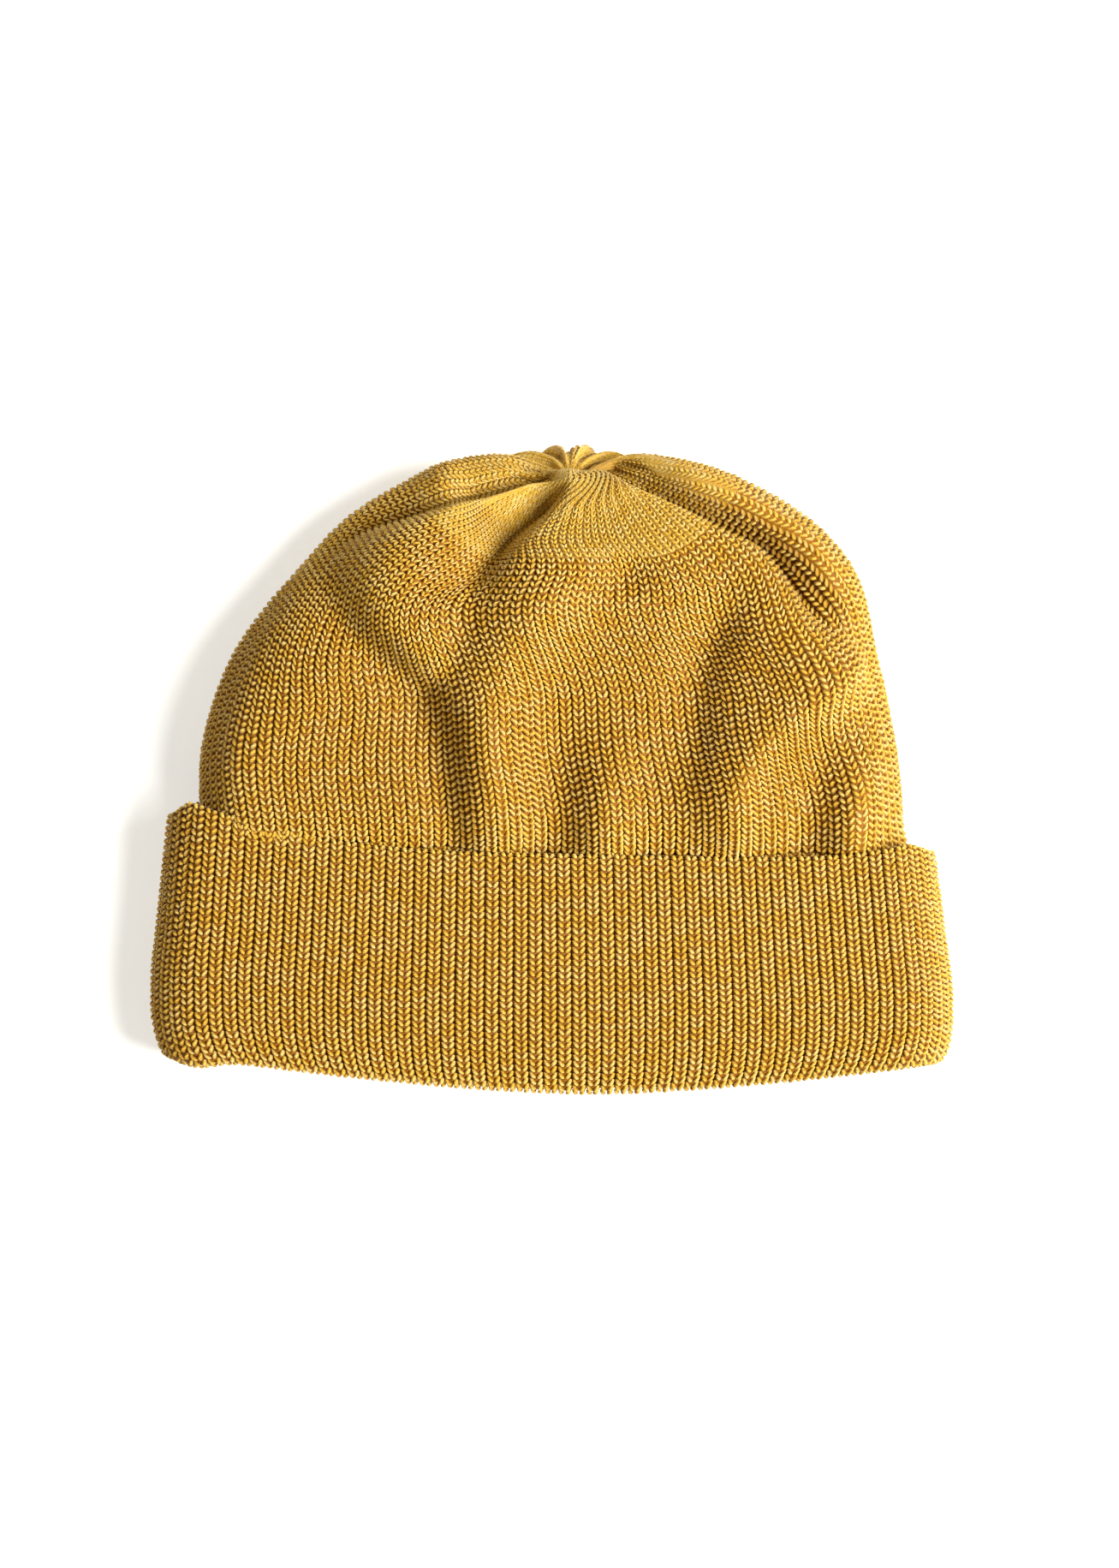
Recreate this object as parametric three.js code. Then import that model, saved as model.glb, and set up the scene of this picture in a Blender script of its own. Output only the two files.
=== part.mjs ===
// Knitted watch cap lying on its back: a ribbed tube gathered to a point, with a turned-up cuff.
// Millimetres. +X to the right, +Y towards the gathered crown, +Z up; the mouth opens towards -Y.
import * as THREE from 'three';

// Driving sizes
const RIBS = 120;
const WALL = 3.0;
const LEG_GAP = 0.8;
const SEAT_GAP = 0.3;
const INNER_LEG = 24;
const RIB_DEPTH = 0.8;
const PLEAT_DEPTH = 1.2;
const RIM_ROUND = 0.9;
const FOLD_RADIUS = WALL + LEG_GAP / 2;
const INNER_LEG_DEPTH = WALL + LEG_GAP;
const CUFF_TOP = 36.6;
const CUFF_EDGE_Y = -24.6;
const CUFF_CEILING = CUFF_TOP - WALL - 3 * SEAT_GAP;
const CEILING_SLOPE = 1.2;

// Reach is the way along a rib from the cuff's top edge (0) to the gather; the hem is inside the cuff
const HEM_REACH = -46;
const CUFF_REACH = 0;
const LEVEL_REACH = 24;
const EDGE_STEPS = 3;
const PLAIN_REACH = 88;
const GATHER_REACH = 136;
const LINING_TIP_SHIFT = new THREE.Vector3(0, -5, -3.5);

// Cross-sections of the crown, one row for each ring of the tube
const CROWN_SECTIONS = [
  {
    reach: -46, frontY: -71, sideY: -64, backY: -71, left: -112.6, right: 112.8,
    endRound: 15, dome: 0, low: 3.8, middle: 17, top: 30.2,
  },
  {
    reach: -23, frontY: -48, sideY: -41, backY: -48, left: -108, right: 108.4,
    endRound: 16, dome: 0, low: 3.8, middle: 17.4, top: 31,
  },
  {
    reach: 0, frontY: -25, sideY: -17, backY: -25, left: -102.4, right: 102.7,
    endRound: 18, dome: 0.5, low: 3.9, middle: 18, top: 32.2,
  },
  {
    reach: 10, frontY: -15.2, sideY: -5.8, backY: -15.7, left: -102.6, right: 101.8,
    endRound: 19, dome: 1.5, low: 3.8, middle: 18, top: 36,
  },
  {
    reach: 24, frontY: -1.2, sideY: 8.6, backY: -2.3, left: -101.6, right: 100,
    endRound: 18, dome: 1.5, low: -1.5, middle: 18, top: 37,
  },
  {
    reach: 42, frontY: 16, sideY: 33, backY: 14, left: -93.3, right: 94.8,
    endRound: 19, dome: 2, low: -2.5, middle: 18.5, top: 37.5,
  },
  {
    reach: 64, frontY: 38, sideY: 59.5, backY: 36, left: -73.2, right: 84.8,
    endRound: 23, dome: 2, low: -2.5, middle: 19, top: 41.5,
  },
  {
    reach: 77, frontY: 50.5, sideY: 74.5, backY: 50, left: -58.6, right: 72.4,
    endRound: 27, dome: 1.5, low: -2, middle: 19, top: 44.5,
  },
  {
    reach: 88, frontY: 61, sideY: 84.5, backY: 66, left: -42, right: 55.5,
    endRound: 29, dome: 1, low: -1.5, middle: 19.5, top: 46,
  },
  {
    reach: 102, frontY: 71.5, sideY: 90.5, backY: 84, left: -28, right: 36,
    endRound: 28, dome: 0, low: 0.5, middle: 20.5, top: 44,
  },
  {
    reach: 113, frontY: 80.5, sideY: 92, backY: 95.4, left: -13, right: 23,
    endRound: 18, dome: 0, low: 8, middle: 21.5, top: 42,
  },
  {
    reach: 122, frontY: 87, sideY: 89, backY: 95, left: -3, right: 14,
    endRound: 8.5, dome: 0, low: 16, middle: 21, top: 36.5,
  },
  {
    reach: 130, frontY: 86.6, sideY: 86.4, backY: 90.5, left: 1.6, right: 9,
    endRound: 3.7, dome: 0, low: 20, middle: 19.5, top: 27,
  },
  {
    reach: 136, frontY: 85.2, sideY: 85.2, backY: 85.2, left: 5.2, right: 5.2,
    endRound: 0, dome: 0, low: 18.5, middle: 18.5, top: 18.5,
  },
];

// Cross-sections of the cuff, from the fold at the mouth (rise 0) to its top edge (rise 1)
const CUFF_SECTIONS = [
  { rise: 0, left: -112, right: 112.4, endRound: 14, low: 2, top: 29 },
  { rise: 0.06, left: -114.8, right: 115.2, endRound: 15.5, low: 0.4, top: 31 },
  { rise: 0.14, left: -116.4, right: 116.6, endRound: 16.5, low: -0.6, top: 32.6 },
  { rise: 0.3, left: -116.9, right: 117, endRound: 17, low: -0.8, top: 34 },
  { rise: 0.6, left: -114.9, right: 114.9, endRound: 17.5, low: -0.8, top: 35.2 },
  { rise: 1, left: -112, right: 111.6, endRound: 18, low: -0.8, top: CUFF_TOP },
];

// Folds on the upper side, each along a path in plan. Widths are [start, end] to the left and right of the
// way along it; taper, fadeIn and fadeOut are shares of its length; edge is the power of the fold's flank.
const FOLDS = {
  crownValley: {
    leftWidth: [2.2, 6.5], rightWidth: [6, 10], taper: 1,
    height: -14, fadeIn: 0.25, fadeOut: 0.5, edge: 1.4,
    path: [[5, 85], [2, 82], [-4, 77], [-16, 66], [-25, 54], [-31, 45]],
  },
  leftGroove: {
    leftWidth: [1.5, 3], rightWidth: [4, 7], taper: 1,
    height: -10, fadeIn: 0.12, fadeOut: 0.5, edge: 1.3,
    path: [[5, 85], [-6, 85.4], [-14, 83.2], [-30, 79], [-52, 72], [-67, 62], [-75, 50]],
  },
  rightGroove: {
    leftWidth: [4.5, 6], rightWidth: [1.2, 2.5], taper: 1,
    height: -16, fadeIn: 0.15, fadeOut: 0.4, edge: 1.5,
    path: [[6, 86], [15, 89.5], [25, 84.7], [42, 77], [53, 71.5], [62, 67], [69.5, 59], [75, 47], [80, 34]],
  },
  rightLobe: {
    leftWidth: [5, 7], rightWidth: [4.5, 6], taper: 1,
    height: 10, fadeIn: 0.25, fadeOut: 0.4, edge: 2.2,
    path: [[20, 90.5], [32, 88], [48, 81.5], [64, 73], [76.5, 61], [83.5, 47], [87, 28]],
  },
  leftRidge: {
    leftWidth: [12, 11], rightWidth: [15, 15], taper: 0.7,
    height: 12, fadeIn: 0.25, fadeOut: 0.4, edge: 2,
    path: [[10, 70], [3, 56], [-6, 44], [-13, 34], [-17, 24], [-17, 12], [-16, -10], [-15, -34]],
  },
  leftLobe: {
    leftWidth: [16, 16], rightWidth: [15, 12], taper: 1,
    height: 11, fadeIn: 0.12, fadeOut: 0.35, edge: 2.2,
    path: [[-20, 79], [-37, 68], [-46, 55], [-44, 45], [-37, 37], [-28, 29], [-21, 20]],
  },
  leftSwell: {
    leftWidth: [28, 32], rightWidth: [10, 8], taper: 1,
    height: 6, fadeIn: 0.3, fadeOut: 0.5, edge: 2,
    path: [[-61, 60], [-78, 38], [-87, 14], [-90, -34]],
  },
  rightTongue: {
    leftWidth: [8, 7], rightWidth: [26, 8], taper: 1,
    height: 11, fadeIn: 0.2, fadeOut: 0.35, edge: 1.9,
    path: [[92, 38], [82, 27], [70, 16], [60, 5], [54, -10], [52, -34]],
  },
  centreRidge: {
    leftWidth: [8, 8], rightWidth: [8, 8], taper: 1,
    height: 5, fadeIn: 0.5, fadeOut: 0.35, edge: 2.2,
    path: [[20, 20], [18, 4], [15, -34]],
  },
  cornerRidge: {
    leftWidth: [5, 7], rightWidth: [5, 7], taper: 1,
    height: 4, fadeIn: 0.6, fadeOut: 0.35, edge: 2.2,
    path: [[96, 14], [91, -4], [87, -34]],
  },
  westValley: {
    leftWidth: [7, 7], rightWidth: [9, 7], taper: 1,
    height: -6, fadeIn: 0.35, fadeOut: 0.35, edge: 2,
    path: [[-66, 58], [-60, 46], [-53, 36], [-42, 26], [-34, 13], [-31, 0], [-28, -45]],
  },
  middleValley: {
    leftWidth: [7, 9], rightWidth: [6, 9], taper: 1,
    height: -5, fadeIn: 0.5, fadeOut: 0.4, edge: 2,
    path: [[4, 26], [0, 0], [-1, -45]],
  },
  eastValley: {
    leftWidth: [7, 6], rightWidth: [11, 8], taper: 1,
    height: -7, fadeIn: 0.25, fadeOut: 0.75, edge: 2,
    path: [[59, 58], [51, 46], [45, 34], [42, 22], [41, 8], [38, -8], [37, -25]],
  },
  cornerValley: {
    leftWidth: [6, 7], rightWidth: [6, 7], taper: 1,
    height: -5, fadeIn: 0.5, fadeOut: 0.4, edge: 2,
    path: [[84, 18], [76, -6], [72, -45]],
  },
  dimple: {
    leftWidth: [6, 6], rightWidth: [6, 6], taper: 1,
    height: -4, fadeIn: 0.5, fadeOut: 0.5, edge: 2,
    path: [[22, 64], [21, 48]],
  },
};
const FOLD_STEPS = 8;
const RIDGE_NARROWING = 0.7;
const FADE_MARGIN = 0.02;

// Folds that meet blend into each other instead of adding up. They stand on the wall low down, turn upright
// in between, and end at the gather.
const FOLD_BLEND = 4;
const UPRIGHT_FROM = 50;
const UPRIGHT_FULL = 85;
const FOLDS_FADE = 120;
const FOLDS_END = 134;

// The outermost lobe reaches over the cap's side; the other folds keep to its upper face
const SIDE_FOLDS = ['rightLobe'];
const SIDE_ONSET = [-0.4, 0.1];
const UPPER_ONSET = [0.02, 0.35];

// Short radial grooves that run into the gather from behind, at ring angles in degrees
const GROOVES_START = 84;
const GROOVES_FULL = 108;
const GROOVES_FADE = 122;
const GROOVES_END = 137;
const GATHER_GROOVES = [
  { name: 'left_under', angle: 205, depth: 3, halfWidth: 9 },
  { name: 'left_back', angle: 236, depth: 4, halfWidth: 9 },
  { name: 'middle_back', angle: 268, depth: 2, halfWidth: 12 },
  { name: 'right_under', angle: 305, depth: 3, halfWidth: 9 },
  { name: 'right_back', angle: 335, depth: 4, halfWidth: 9 },
];

// Rings of facets: reach for the crown, rise for the cuff
const RIB_COLUMNS = 2 * RIBS;
const PLAIN_COLUMNS = RIBS;
const LINING_COLUMNS = RIBS / 2;
const RIBBED_ROWS = [-0.4, 12, 24, 37, 50, 63, 76, PLAIN_REACH];
const PLAIN_ROWS = [95, 103, 110, 116, 122];
const GATHER_ROWS = [128, 133];
const LINING_ROWS = [110, 103, 88, 76, 63, 50, 37, 24, 12, -1];
const CUFF_OUTER_ROWS = [0.66, 0.33, 0.12];
const CUFF_LINING_ROWS = [0.65];
const FOLD_OUTER_TURNS = [45, 90];
const FOLD_INNER_TURNS = [135, 180];

// Lines in plan that the ribs follow near the gather, with the rib on each; the sides have ring angles
const SEAMS = [
  { name: 'right_side', rib: 26, angle: 0 },
  { name: 'right_crease', rib: 34, path: [...FOLDS.rightGroove.path, [83, 10], [84, -40]] },
  { name: 'valley', rib: 66, path: [...FOLDS.crownValley.path, [-25, 10], [-23, -40]] },
  { name: 'left_crease', rib: 84, path: [...FOLDS.leftGroove.path, [-84, 30], [-88, 0], [-90, -40]] },
  { name: 'left_side', rib: 90, angle: Math.PI },
];
const SEAM_FROM = 12;
const SEAM_FULL = 72;
const SEAM_HOLD = 118;

// Ribs are spaced along a face that has part of the folds' height, and more of it near the gather
const SPACING_LOW = 0.5;
const SPACING_GAIN = 0.5;
const SPACING_FROM = 60;
const SPACING_FULL = 100;

// Behind the gather the ribs crowd together, but for those of the lobes that show over it
const BACK_CROWDING = 3;
const CROWDING_FROM = 88;
const CROWDING_FULL = 112;
const BACK_LOBES_ANGLE = 268;
const BACK_LOBES_WIDTH = 30;

// Small pleats near the gather, and how softly each piece meets the floor
const PLEATS_START = 104;
const PLEATS_FULL = 116;
const PLEATS_FADE = 124;
const PLEATS_END = 134;
const CUFF_SOFTNESS = 0.5;
const CROWN_SOFTNESS = 1.5;

// Power with which a tilted ring bends, steps of the normals, and samples round one ring
const RING_BEND = 1.7;
const FINE_STEP = 0.01;
const CROWN_STEP = 0.4;
const LINING_STEP = 0.8;
const RING_SAMPLES = 720;

function smoothStep(from, to, value) {
  const t = THREE.MathUtils.clamp((value - from) / (to - from), 0, 1);
  return t * t * (3 - 2 * t);
}

function hermite(a, b, slopeA, slopeB, t) {
  const t2 = t * t;
  const t3 = t2 * t;
  const atA = (2 * t3 - 3 * t2 + 1) * a + (t3 - 2 * t2 + t) * slopeA;
  const atB = (3 * t2 - 2 * t3) * b + (t3 - t2) * slopeB;
  return atA + atB;
}

// Slope of one column of a table at an inner row
function rowSlope(table, key, column, row) {
  const before = table[row][key] - table[row - 1][key];
  const after = table[row + 1][key] - table[row][key];
  const slopeBefore = (table[row][column] - table[row - 1][column]) / before;
  const slopeAfter = (table[row + 1][column] - table[row][column]) / after;
  return (slopeBefore * after + slopeAfter * before) / (before + after);
}

// All columns of a table, smoothly between its rows
function sampleTable(table, key, at) {
  const lastSpan = table.length - 2;
  let row = 0;
  while (row < lastSpan && at >= table[row + 1][key]) row += 1;
  const a = table[row];
  const b = table[row + 1];
  const span = b[key] - a[key];
  const t = (at - a[key]) / span;
  const section = {};
  for (const column of Object.keys(a)) {
    const chord = (b[column] - a[column]) / span;
    const slopeA = row > 0 ? rowSlope(table, key, column, row) : chord;
    const slopeB = row < lastSpan ? rowSlope(table, key, column, row + 1) : chord;
    section[column] = hermite(a[column], b[column], slopeA * span, slopeB * span, t);
  }
  return section;
}

// Height with everything below the floor pressed flat onto it
function restOnFloor(z, softness) {
  const share = THREE.MathUtils.clamp(0.5 + 0.5 * z / softness, 0, 1);
  return z * share + 0.5 * softness * share * (1 - share);
}

// Flattened ring with round ends: across is its x, lift runs from -1 (below) to 1 (above)
function flatRing(angle, half, endRound, height) {
  const turn = 2 * Math.PI;
  const a = ((angle % turn) + turn) % turn;
  const quarter = Math.min(a, Math.abs(Math.PI - a), turn - a);
  const end = THREE.MathUtils.clamp(endRound, 0, half);
  const level = half - end;
  const arc = (end + height) * Math.PI / 4;
  const corner = 0.5 * Math.PI * arc / Math.max(arc + level, 1e-9);
  const round = 0.5 * Math.PI * Math.min(quarter / Math.max(corner, 1e-9), 1);
  const flat = (0.5 * Math.PI - quarter) / Math.max(0.5 * Math.PI - corner, 1e-9);
  const across = quarter < corner ? level + end * Math.cos(round) : level * flat;
  return { across: Math.sign(Math.cos(a)) * across, lift: Math.sign(Math.sin(a)) * Math.sin(round) };
}

// Y of the cuff's fold at the mouth and of its top edge, across the cap
function cuffEdges(x) {
  const fold = -95.4 + 8 * Math.abs((x - 12) / 100) ** 1.6 - 3 * Math.exp(-(((x + 106) / 9) ** 2));
  const leftRise = 15 * THREE.MathUtils.clamp(-x / 110, 0, 1.2) ** 3 - 7 * smoothStep(104, 113, -x);
  const rightRise = 7 * THREE.MathUtils.clamp(x / 110, 0, 1.2) ** 6 - 5 * smoothStep(103, 113, x);
  return { fold, top: CUFF_EDGE_Y - 0.02 * x + leftRise + rightRise };
}

// Outer face of the cuff
function cuffFace(rise, angle) {
  const section = sampleTable(CUFF_SECTIONS, 'rise', rise);
  const half = (section.right - section.left) / 2;
  const { across, lift } = flatRing(angle, half, section.endRound, (section.top - section.low) / 2);
  const x = (section.left + section.right) / 2 + across;
  const z = (section.top + section.low) / 2 + lift * (section.top - section.low) / 2;
  const edges = cuffEdges(x);
  const y = edges.fold + (edges.top - edges.fold) * rise;
  return new THREE.Vector3(x, y, restOnFloor(z, CUFF_SOFTNESS));
}

// Outward normal of a surface given by two parameters
function normalOf(surface, a, b, stepA) {
  const alongA = surface(a + stepA, b).sub(surface(a - stepA, b));
  const alongB = surface(a, b + FINE_STEP).sub(surface(a, b - FINE_STEP));
  return alongA.cross(alongB).normalize();
}

// Point of the cuff's strip: millimetres above the fold's lowest point, and depth below the outer face
function cuffPoint(above, depth, angle) {
  const x = cuffFace(0.5, angle).x;
  const edges = cuffEdges(x);
  const rise = above / (edges.top - edges.fold);
  const normal = normalOf(cuffFace, rise, angle, FINE_STEP);
  return cuffFace(rise, angle).addScaledVector(normal, -depth);
}

// Point on the fold at the mouth: turn 0 is on the outer face, 90 lowest, 180 on the inner face
function foldPoint(turn, radius, angle) {
  const onFace = cuffPoint(FOLD_RADIUS, 0, angle);
  const centre = cuffPoint(FOLD_RADIUS, FOLD_RADIUS, angle);
  const outward = onFace.clone().sub(centre).normalize();
  const upward = cuffPoint(FOLD_RADIUS + 2, FOLD_RADIUS, angle).sub(centre).normalize();
  const t = THREE.MathUtils.degToRad(turn);
  return centre.addScaledVector(outward, radius * Math.cos(t)).addScaledVector(upward, -radius * Math.sin(t));
}

// Crown without its folds
function crownRing(reach, angle) {
  const section = sampleTable(CROWN_SECTIONS, 'reach', reach);
  const half = (section.right - section.left) / 2;
  const { across, lift } = flatRing(angle, half, section.endRound, (section.top - section.low) / 2);
  const up = Math.max(lift, 0);
  const down = Math.max(-lift, 0);
  const frontShift = (section.frontY - section.sideY) * up ** RING_BEND;
  const backShift = (section.backY - section.sideY) * down ** RING_BEND;
  const dome = section.dome * (1 - (across / Math.max(half, 1e-9)) ** 2);
  const rise = (section.top + dome - section.middle) * up;
  const fall = (section.middle - section.low) * down;
  const x = (section.left + section.right) / 2 + across;
  const z = section.middle + rise - fall;
  const point = new THREE.Vector3(x, section.sideY + frontShift + backShift, restOnFloor(z, CROWN_SOFTNESS));
  const tucked = smoothStep(CUFF_REACH, HEM_REACH, reach);
  if (tucked === 0) return point;
  const inCuff = cuffPoint(INNER_LEG + SEAT_GAP + (reach - HEM_REACH), INNER_LEG_DEPTH, angle);
  return point.lerp(inCuff, tucked);
}

function splineThrough(path) {
  const curve = new THREE.SplineCurve(path.map(([x, y]) => new THREE.Vector2(x, y)));
  return curve.getSpacedPoints(FOLD_STEPS * (path.length - 1));
}

// Distance from a plan point to a line, the share of the way along it, and the side: 1 left of it, -1 right
function placeOnLine(x, y, line) {
  let best = { distance: Infinity, share: 0, side: 0 };
  for (let i = 0; i + 1 < line.length; i += 1) {
    const dx = line[i + 1].x - line[i].x;
    const dy = line[i + 1].y - line[i].y;
    const offX = x - line[i].x;
    const offY = y - line[i].y;
    const t = THREE.MathUtils.clamp((offX * dx + offY * dy) / (dx * dx + dy * dy), 0, 1);
    const distance = Math.hypot(offX - t * dx, offY - t * dy);
    if (distance < best.distance) {
      const side = THREE.MathUtils.clamp((offY * dx - offX * dy) / Math.hypot(dx, dy), -1, 1);
      best = { distance, share: (i + t) / (line.length - 1), side };
    }
  }
  return best;
}

for (const fold of Object.values(FOLDS)) fold.line = splineThrough(fold.path);

// Height of one fold over a plan point. To keep the wall's thickness, its inside has wider valleys and
// narrower ridges, by widen and by a share of it.
function foldAmount(fold, x, y, widen) {
  const { distance, share, side } = placeOnLine(x, y, fold.line);
  const tapered = Math.min(share / fold.taper, 1);
  const left = THREE.MathUtils.lerp(...fold.leftWidth, tapered);
  const right = THREE.MathUtils.lerp(...fold.rightWidth, tapered);
  const gain = fold.height > 0 ? -RIDGE_NARROWING * widen : widen;
  const width = (left * (1 + side) + right * (1 - side)) / 2 + gain;
  const fadeIn = fold.fadeIn > 0 ? smoothStep(-FADE_MARGIN, fold.fadeIn, share) : 1;
  const fadeOut = smoothStep(1 + FADE_MARGIN, 1 - fold.fadeOut, share);
  return Math.abs(fold.height) * Math.exp(-((distance / width) ** fold.edge)) * fadeIn * fadeOut;
}

// Height of all the folds over the plain ring
function foldHeight(reach, angle, point, widen) {
  const lift = Math.sin(angle);
  if (lift < SIDE_ONSET[0]) return 0;
  let ridges = 0;
  let valleys = 0;
  for (const [name, fold] of Object.entries(FOLDS)) {
    const onset = SIDE_FOLDS.includes(name) ? SIDE_ONSET : UPPER_ONSET;
    const amount = (foldAmount(fold, point.x, point.y, widen) * smoothStep(...onset, lift)) ** FOLD_BLEND;
    if (fold.height > 0) ridges += amount;
    else valleys += amount;
  }
  const total = ridges ** (1 / FOLD_BLEND) - valleys ** (1 / FOLD_BLEND);
  return total * smoothStep(FOLDS_END, FOLDS_FADE, reach);
}

// Depth of the short grooves behind the gather
function grooveDepth(reach, angle) {
  const degrees = THREE.MathUtils.radToDeg(angle);
  let depth = 0;
  for (const groove of GATHER_GROOVES) {
    const away = THREE.MathUtils.euclideanModulo(degrees - groove.angle + 180, 360) - 180;
    depth += groove.depth * Math.exp(-((away / groove.halfWidth) ** 2));
  }
  return depth * smoothStep(GROOVES_START, GROOVES_FULL, reach) * smoothStep(GROOVES_END, GROOVES_FADE, reach);
}

// Outer face of the crown, with its folds; under the cuff it keeps below the cuff's wall
function crownFace(reach, angle, widen = 0) {
  const point = crownRing(reach, angle);
  const height = foldHeight(reach, angle, point, widen);
  const upright = smoothStep(UPRIGHT_FROM, UPRIGHT_FULL, reach);
  const outward = height * (1 - upright) - grooveDepth(reach, angle);
  point.addScaledVector(normalOf(crownRing, reach, angle, CROWN_STEP), outward);
  point.z = Math.max(point.z + height * upright, 0);
  const clearOfCuff = Math.max(point.y - cuffEdges(point.x).top, 0);
  point.z = Math.min(point.z, CUFF_CEILING + CEILING_SLOPE * clearOfCuff);
  return point;
}

function crownSpacing(reach, angle) {
  const share = SPACING_LOW + SPACING_GAIN * smoothStep(SPACING_FROM, SPACING_FULL, reach);
  return crownRing(reach, angle).lerp(crownFace(reach, angle), share);
}

function crownCrowding(reach, angle) {
  const pull = BACK_CROWDING * smoothStep(CROWDING_FROM, CROWDING_FULL, reach);
  const degrees = THREE.MathUtils.euclideanModulo(THREE.MathUtils.radToDeg(angle), 360);
  const shown = Math.exp(-(((degrees - BACK_LOBES_ANGLE) / BACK_LOBES_WIDTH) ** 4));
  return 1 + pull * (1 - shown) * smoothStep(0, -0.3, Math.sin(angle));
}

// Ring angle at which a seam crosses one ring
function seamAngle(seam, reach) {
  if (seam.angle !== undefined) return seam.angle;
  const line = splineThrough(seam.path);
  let best = { distance: Infinity, angle: 0 };
  for (let i = 1; i < RING_SAMPLES; i += 1) {
    const angle = Math.PI * i / RING_SAMPLES;
    const point = crownRing(reach, angle);
    const { distance } = placeOnLine(point.x, point.y, line);
    if (distance < best.distance) best = { distance, angle };
  }
  return best.angle;
}

function interpolate(value, from, to) {
  let i = 0;
  while (i + 2 < from.length && value > from[i + 1]) i += 1;
  return to[i] + (to[i + 1] - to[i]) * (value - from[i]) / (from[i + 1] - from[i]);
}

// Shifts the ribs on one ring, so that each seam has its own rib on it
function followSeams(reach, angles, shares) {
  const held = Math.min(reach, SEAM_HOLD);
  const pull = smoothStep(SEAM_FROM, SEAM_FULL, reach);
  if (pull === 0) return shares;
  const natural = SEAMS.map((seam) => interpolate(seamAngle(seam, held), angles, shares));
  const wanted = SEAMS.map((seam, i) => THREE.MathUtils.lerp(natural[i], seam.rib / RIBS, pull));
  return shares.map((share) => interpolate(share, [0, ...natural, 1], [0, ...wanted, 1]));
}

function evenly() {
  return 1;
}

// Ring angles of evenly spaced columns, counted from the middle of the back
function columnAngles(surface, at, columns, crowding, shift) {
  const step = 2 * Math.PI / RING_SAMPLES;
  const angles = [-0.5 * Math.PI];
  const travelled = [0];
  let last = surface(at, angles[0]);
  for (let i = 1; i <= RING_SAMPLES; i += 1) {
    const angle = angles[0] + i * step;
    const next = surface(at, angle);
    travelled.push(travelled[i - 1] + next.distanceTo(last) * crowding(at, angle - 0.5 * step));
    angles.push(angle);
    last = next;
  }
  const even = travelled.map((length) => length / travelled[RING_SAMPLES]);
  const shares = shift ? shift(at, angles, even) : even;
  const wanted = Array.from({ length: columns }, (_, column) => column / columns);
  return wanted.map((share) => interpolate(share, shares, angles));
}

function crownAngles(reach, columns) {
  return columnAngles(crownSpacing, reach, columns, crownCrowding, followSeams);
}

// One closed body, grown ring by ring
class Shell {
  constructor() {
    this.positions = [];
    this.faces = [];
    this.last = null;
  }

  addPoint(point) {
    this.positions.push(point.x, point.y, point.z);
    return this.positions.length / 3 - 1;
  }

  addRing(points) {
    const ring = points.map((point) => this.addPoint(point));
    if (this.last) this.bridge(this.last, ring);
    this.last = ring;
    return ring;
  }

  // Rings of unlike counts are joined, where the larger is a multiple of the smaller
  bridge(a, b) {
    if (a.length < b.length) {
      this.join(b, a, true);
      return;
    }
    this.join(a, b, false);
  }

  join(fine, coarse, flip) {
    const ratio = fine.length / coarse.length;
    for (let c = 0; c < coarse.length; c += 1) {
      const c1 = (c + 1) % coarse.length;
      const switchAt = Math.ceil(ratio / 2);
      for (let k = 0; k < ratio; k += 1) {
        const f = c * ratio + k;
        const f1 = (f + 1) % fine.length;
        this.addFace(fine[f], fine[f1], k < switchAt ? coarse[c] : coarse[c1], flip);
        if (k === switchAt - 1) this.addFace(fine[f1], coarse[c1], coarse[c], flip);
      }
    }
  }

  close(ring, apex, flip) {
    const tip = this.addPoint(apex);
    ring.forEach((corner, i) => this.addFace(corner, ring[(i + 1) % ring.length], tip, flip));
  }

  addFace(a, b, c, flip) {
    this.faces.push(...(flip ? [a, c, b] : [a, b, c]));
  }

  // Signed volume tells whether the faces point out
  volume() {
    const corner = (i) => new THREE.Vector3().fromArray(this.positions, 3 * this.faces[i]);
    let sum = 0;
    for (let i = 0; i < this.faces.length; i += 3) {
      sum += corner(i).dot(corner(i + 1).cross(corner(i + 2)));
    }
    return sum / 6;
  }

  geometry() {
    const faces = this.volume() < 0 ? [...this.faces].reverse() : this.faces;
    const geometry = new THREE.BufferGeometry();
    geometry.setAttribute('position', new THREE.Float32BufferAttribute(this.positions, 3));
    geometry.setIndex(faces);
    geometry.computeVertexNormals();
    return geometry;
  }
}

// Ribs: every second column sinks in, less and less towards the floor that presses them flat
function ribSink(column, z) {
  return column % 2 === 0 ? 0 : RIB_DEPTH * smoothStep(0.1, 2, z);
}

// Rows near the cuff keep to its top edge, which is higher at its ends, and level out above it
function alongEdge(reach, angle) {
  const follow = smoothStep(LEVEL_REACH, CUFF_REACH, reach);
  if (follow === 0) return reach;
  let along = reach;
  for (let step = 0; step < EDGE_STEPS; step += 1) {
    const { x, y } = crownFace(along, angle);
    along -= y - cuffEdges(x).top - reach;
  }
  return THREE.MathUtils.lerp(reach, along, follow);
}

function ribbedCrownRing(reach) {
  const angles = crownAngles(reach, RIB_COLUMNS);
  return angles.map((angle, column) => {
    const own = alongEdge(reach, angle);
    const point = crownFace(own, angle);
    const normal = normalOf(crownFace, own, angle, CROWN_STEP);
    return point.addScaledVector(normal, -ribSink(column, point.z));
  });
}

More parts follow.
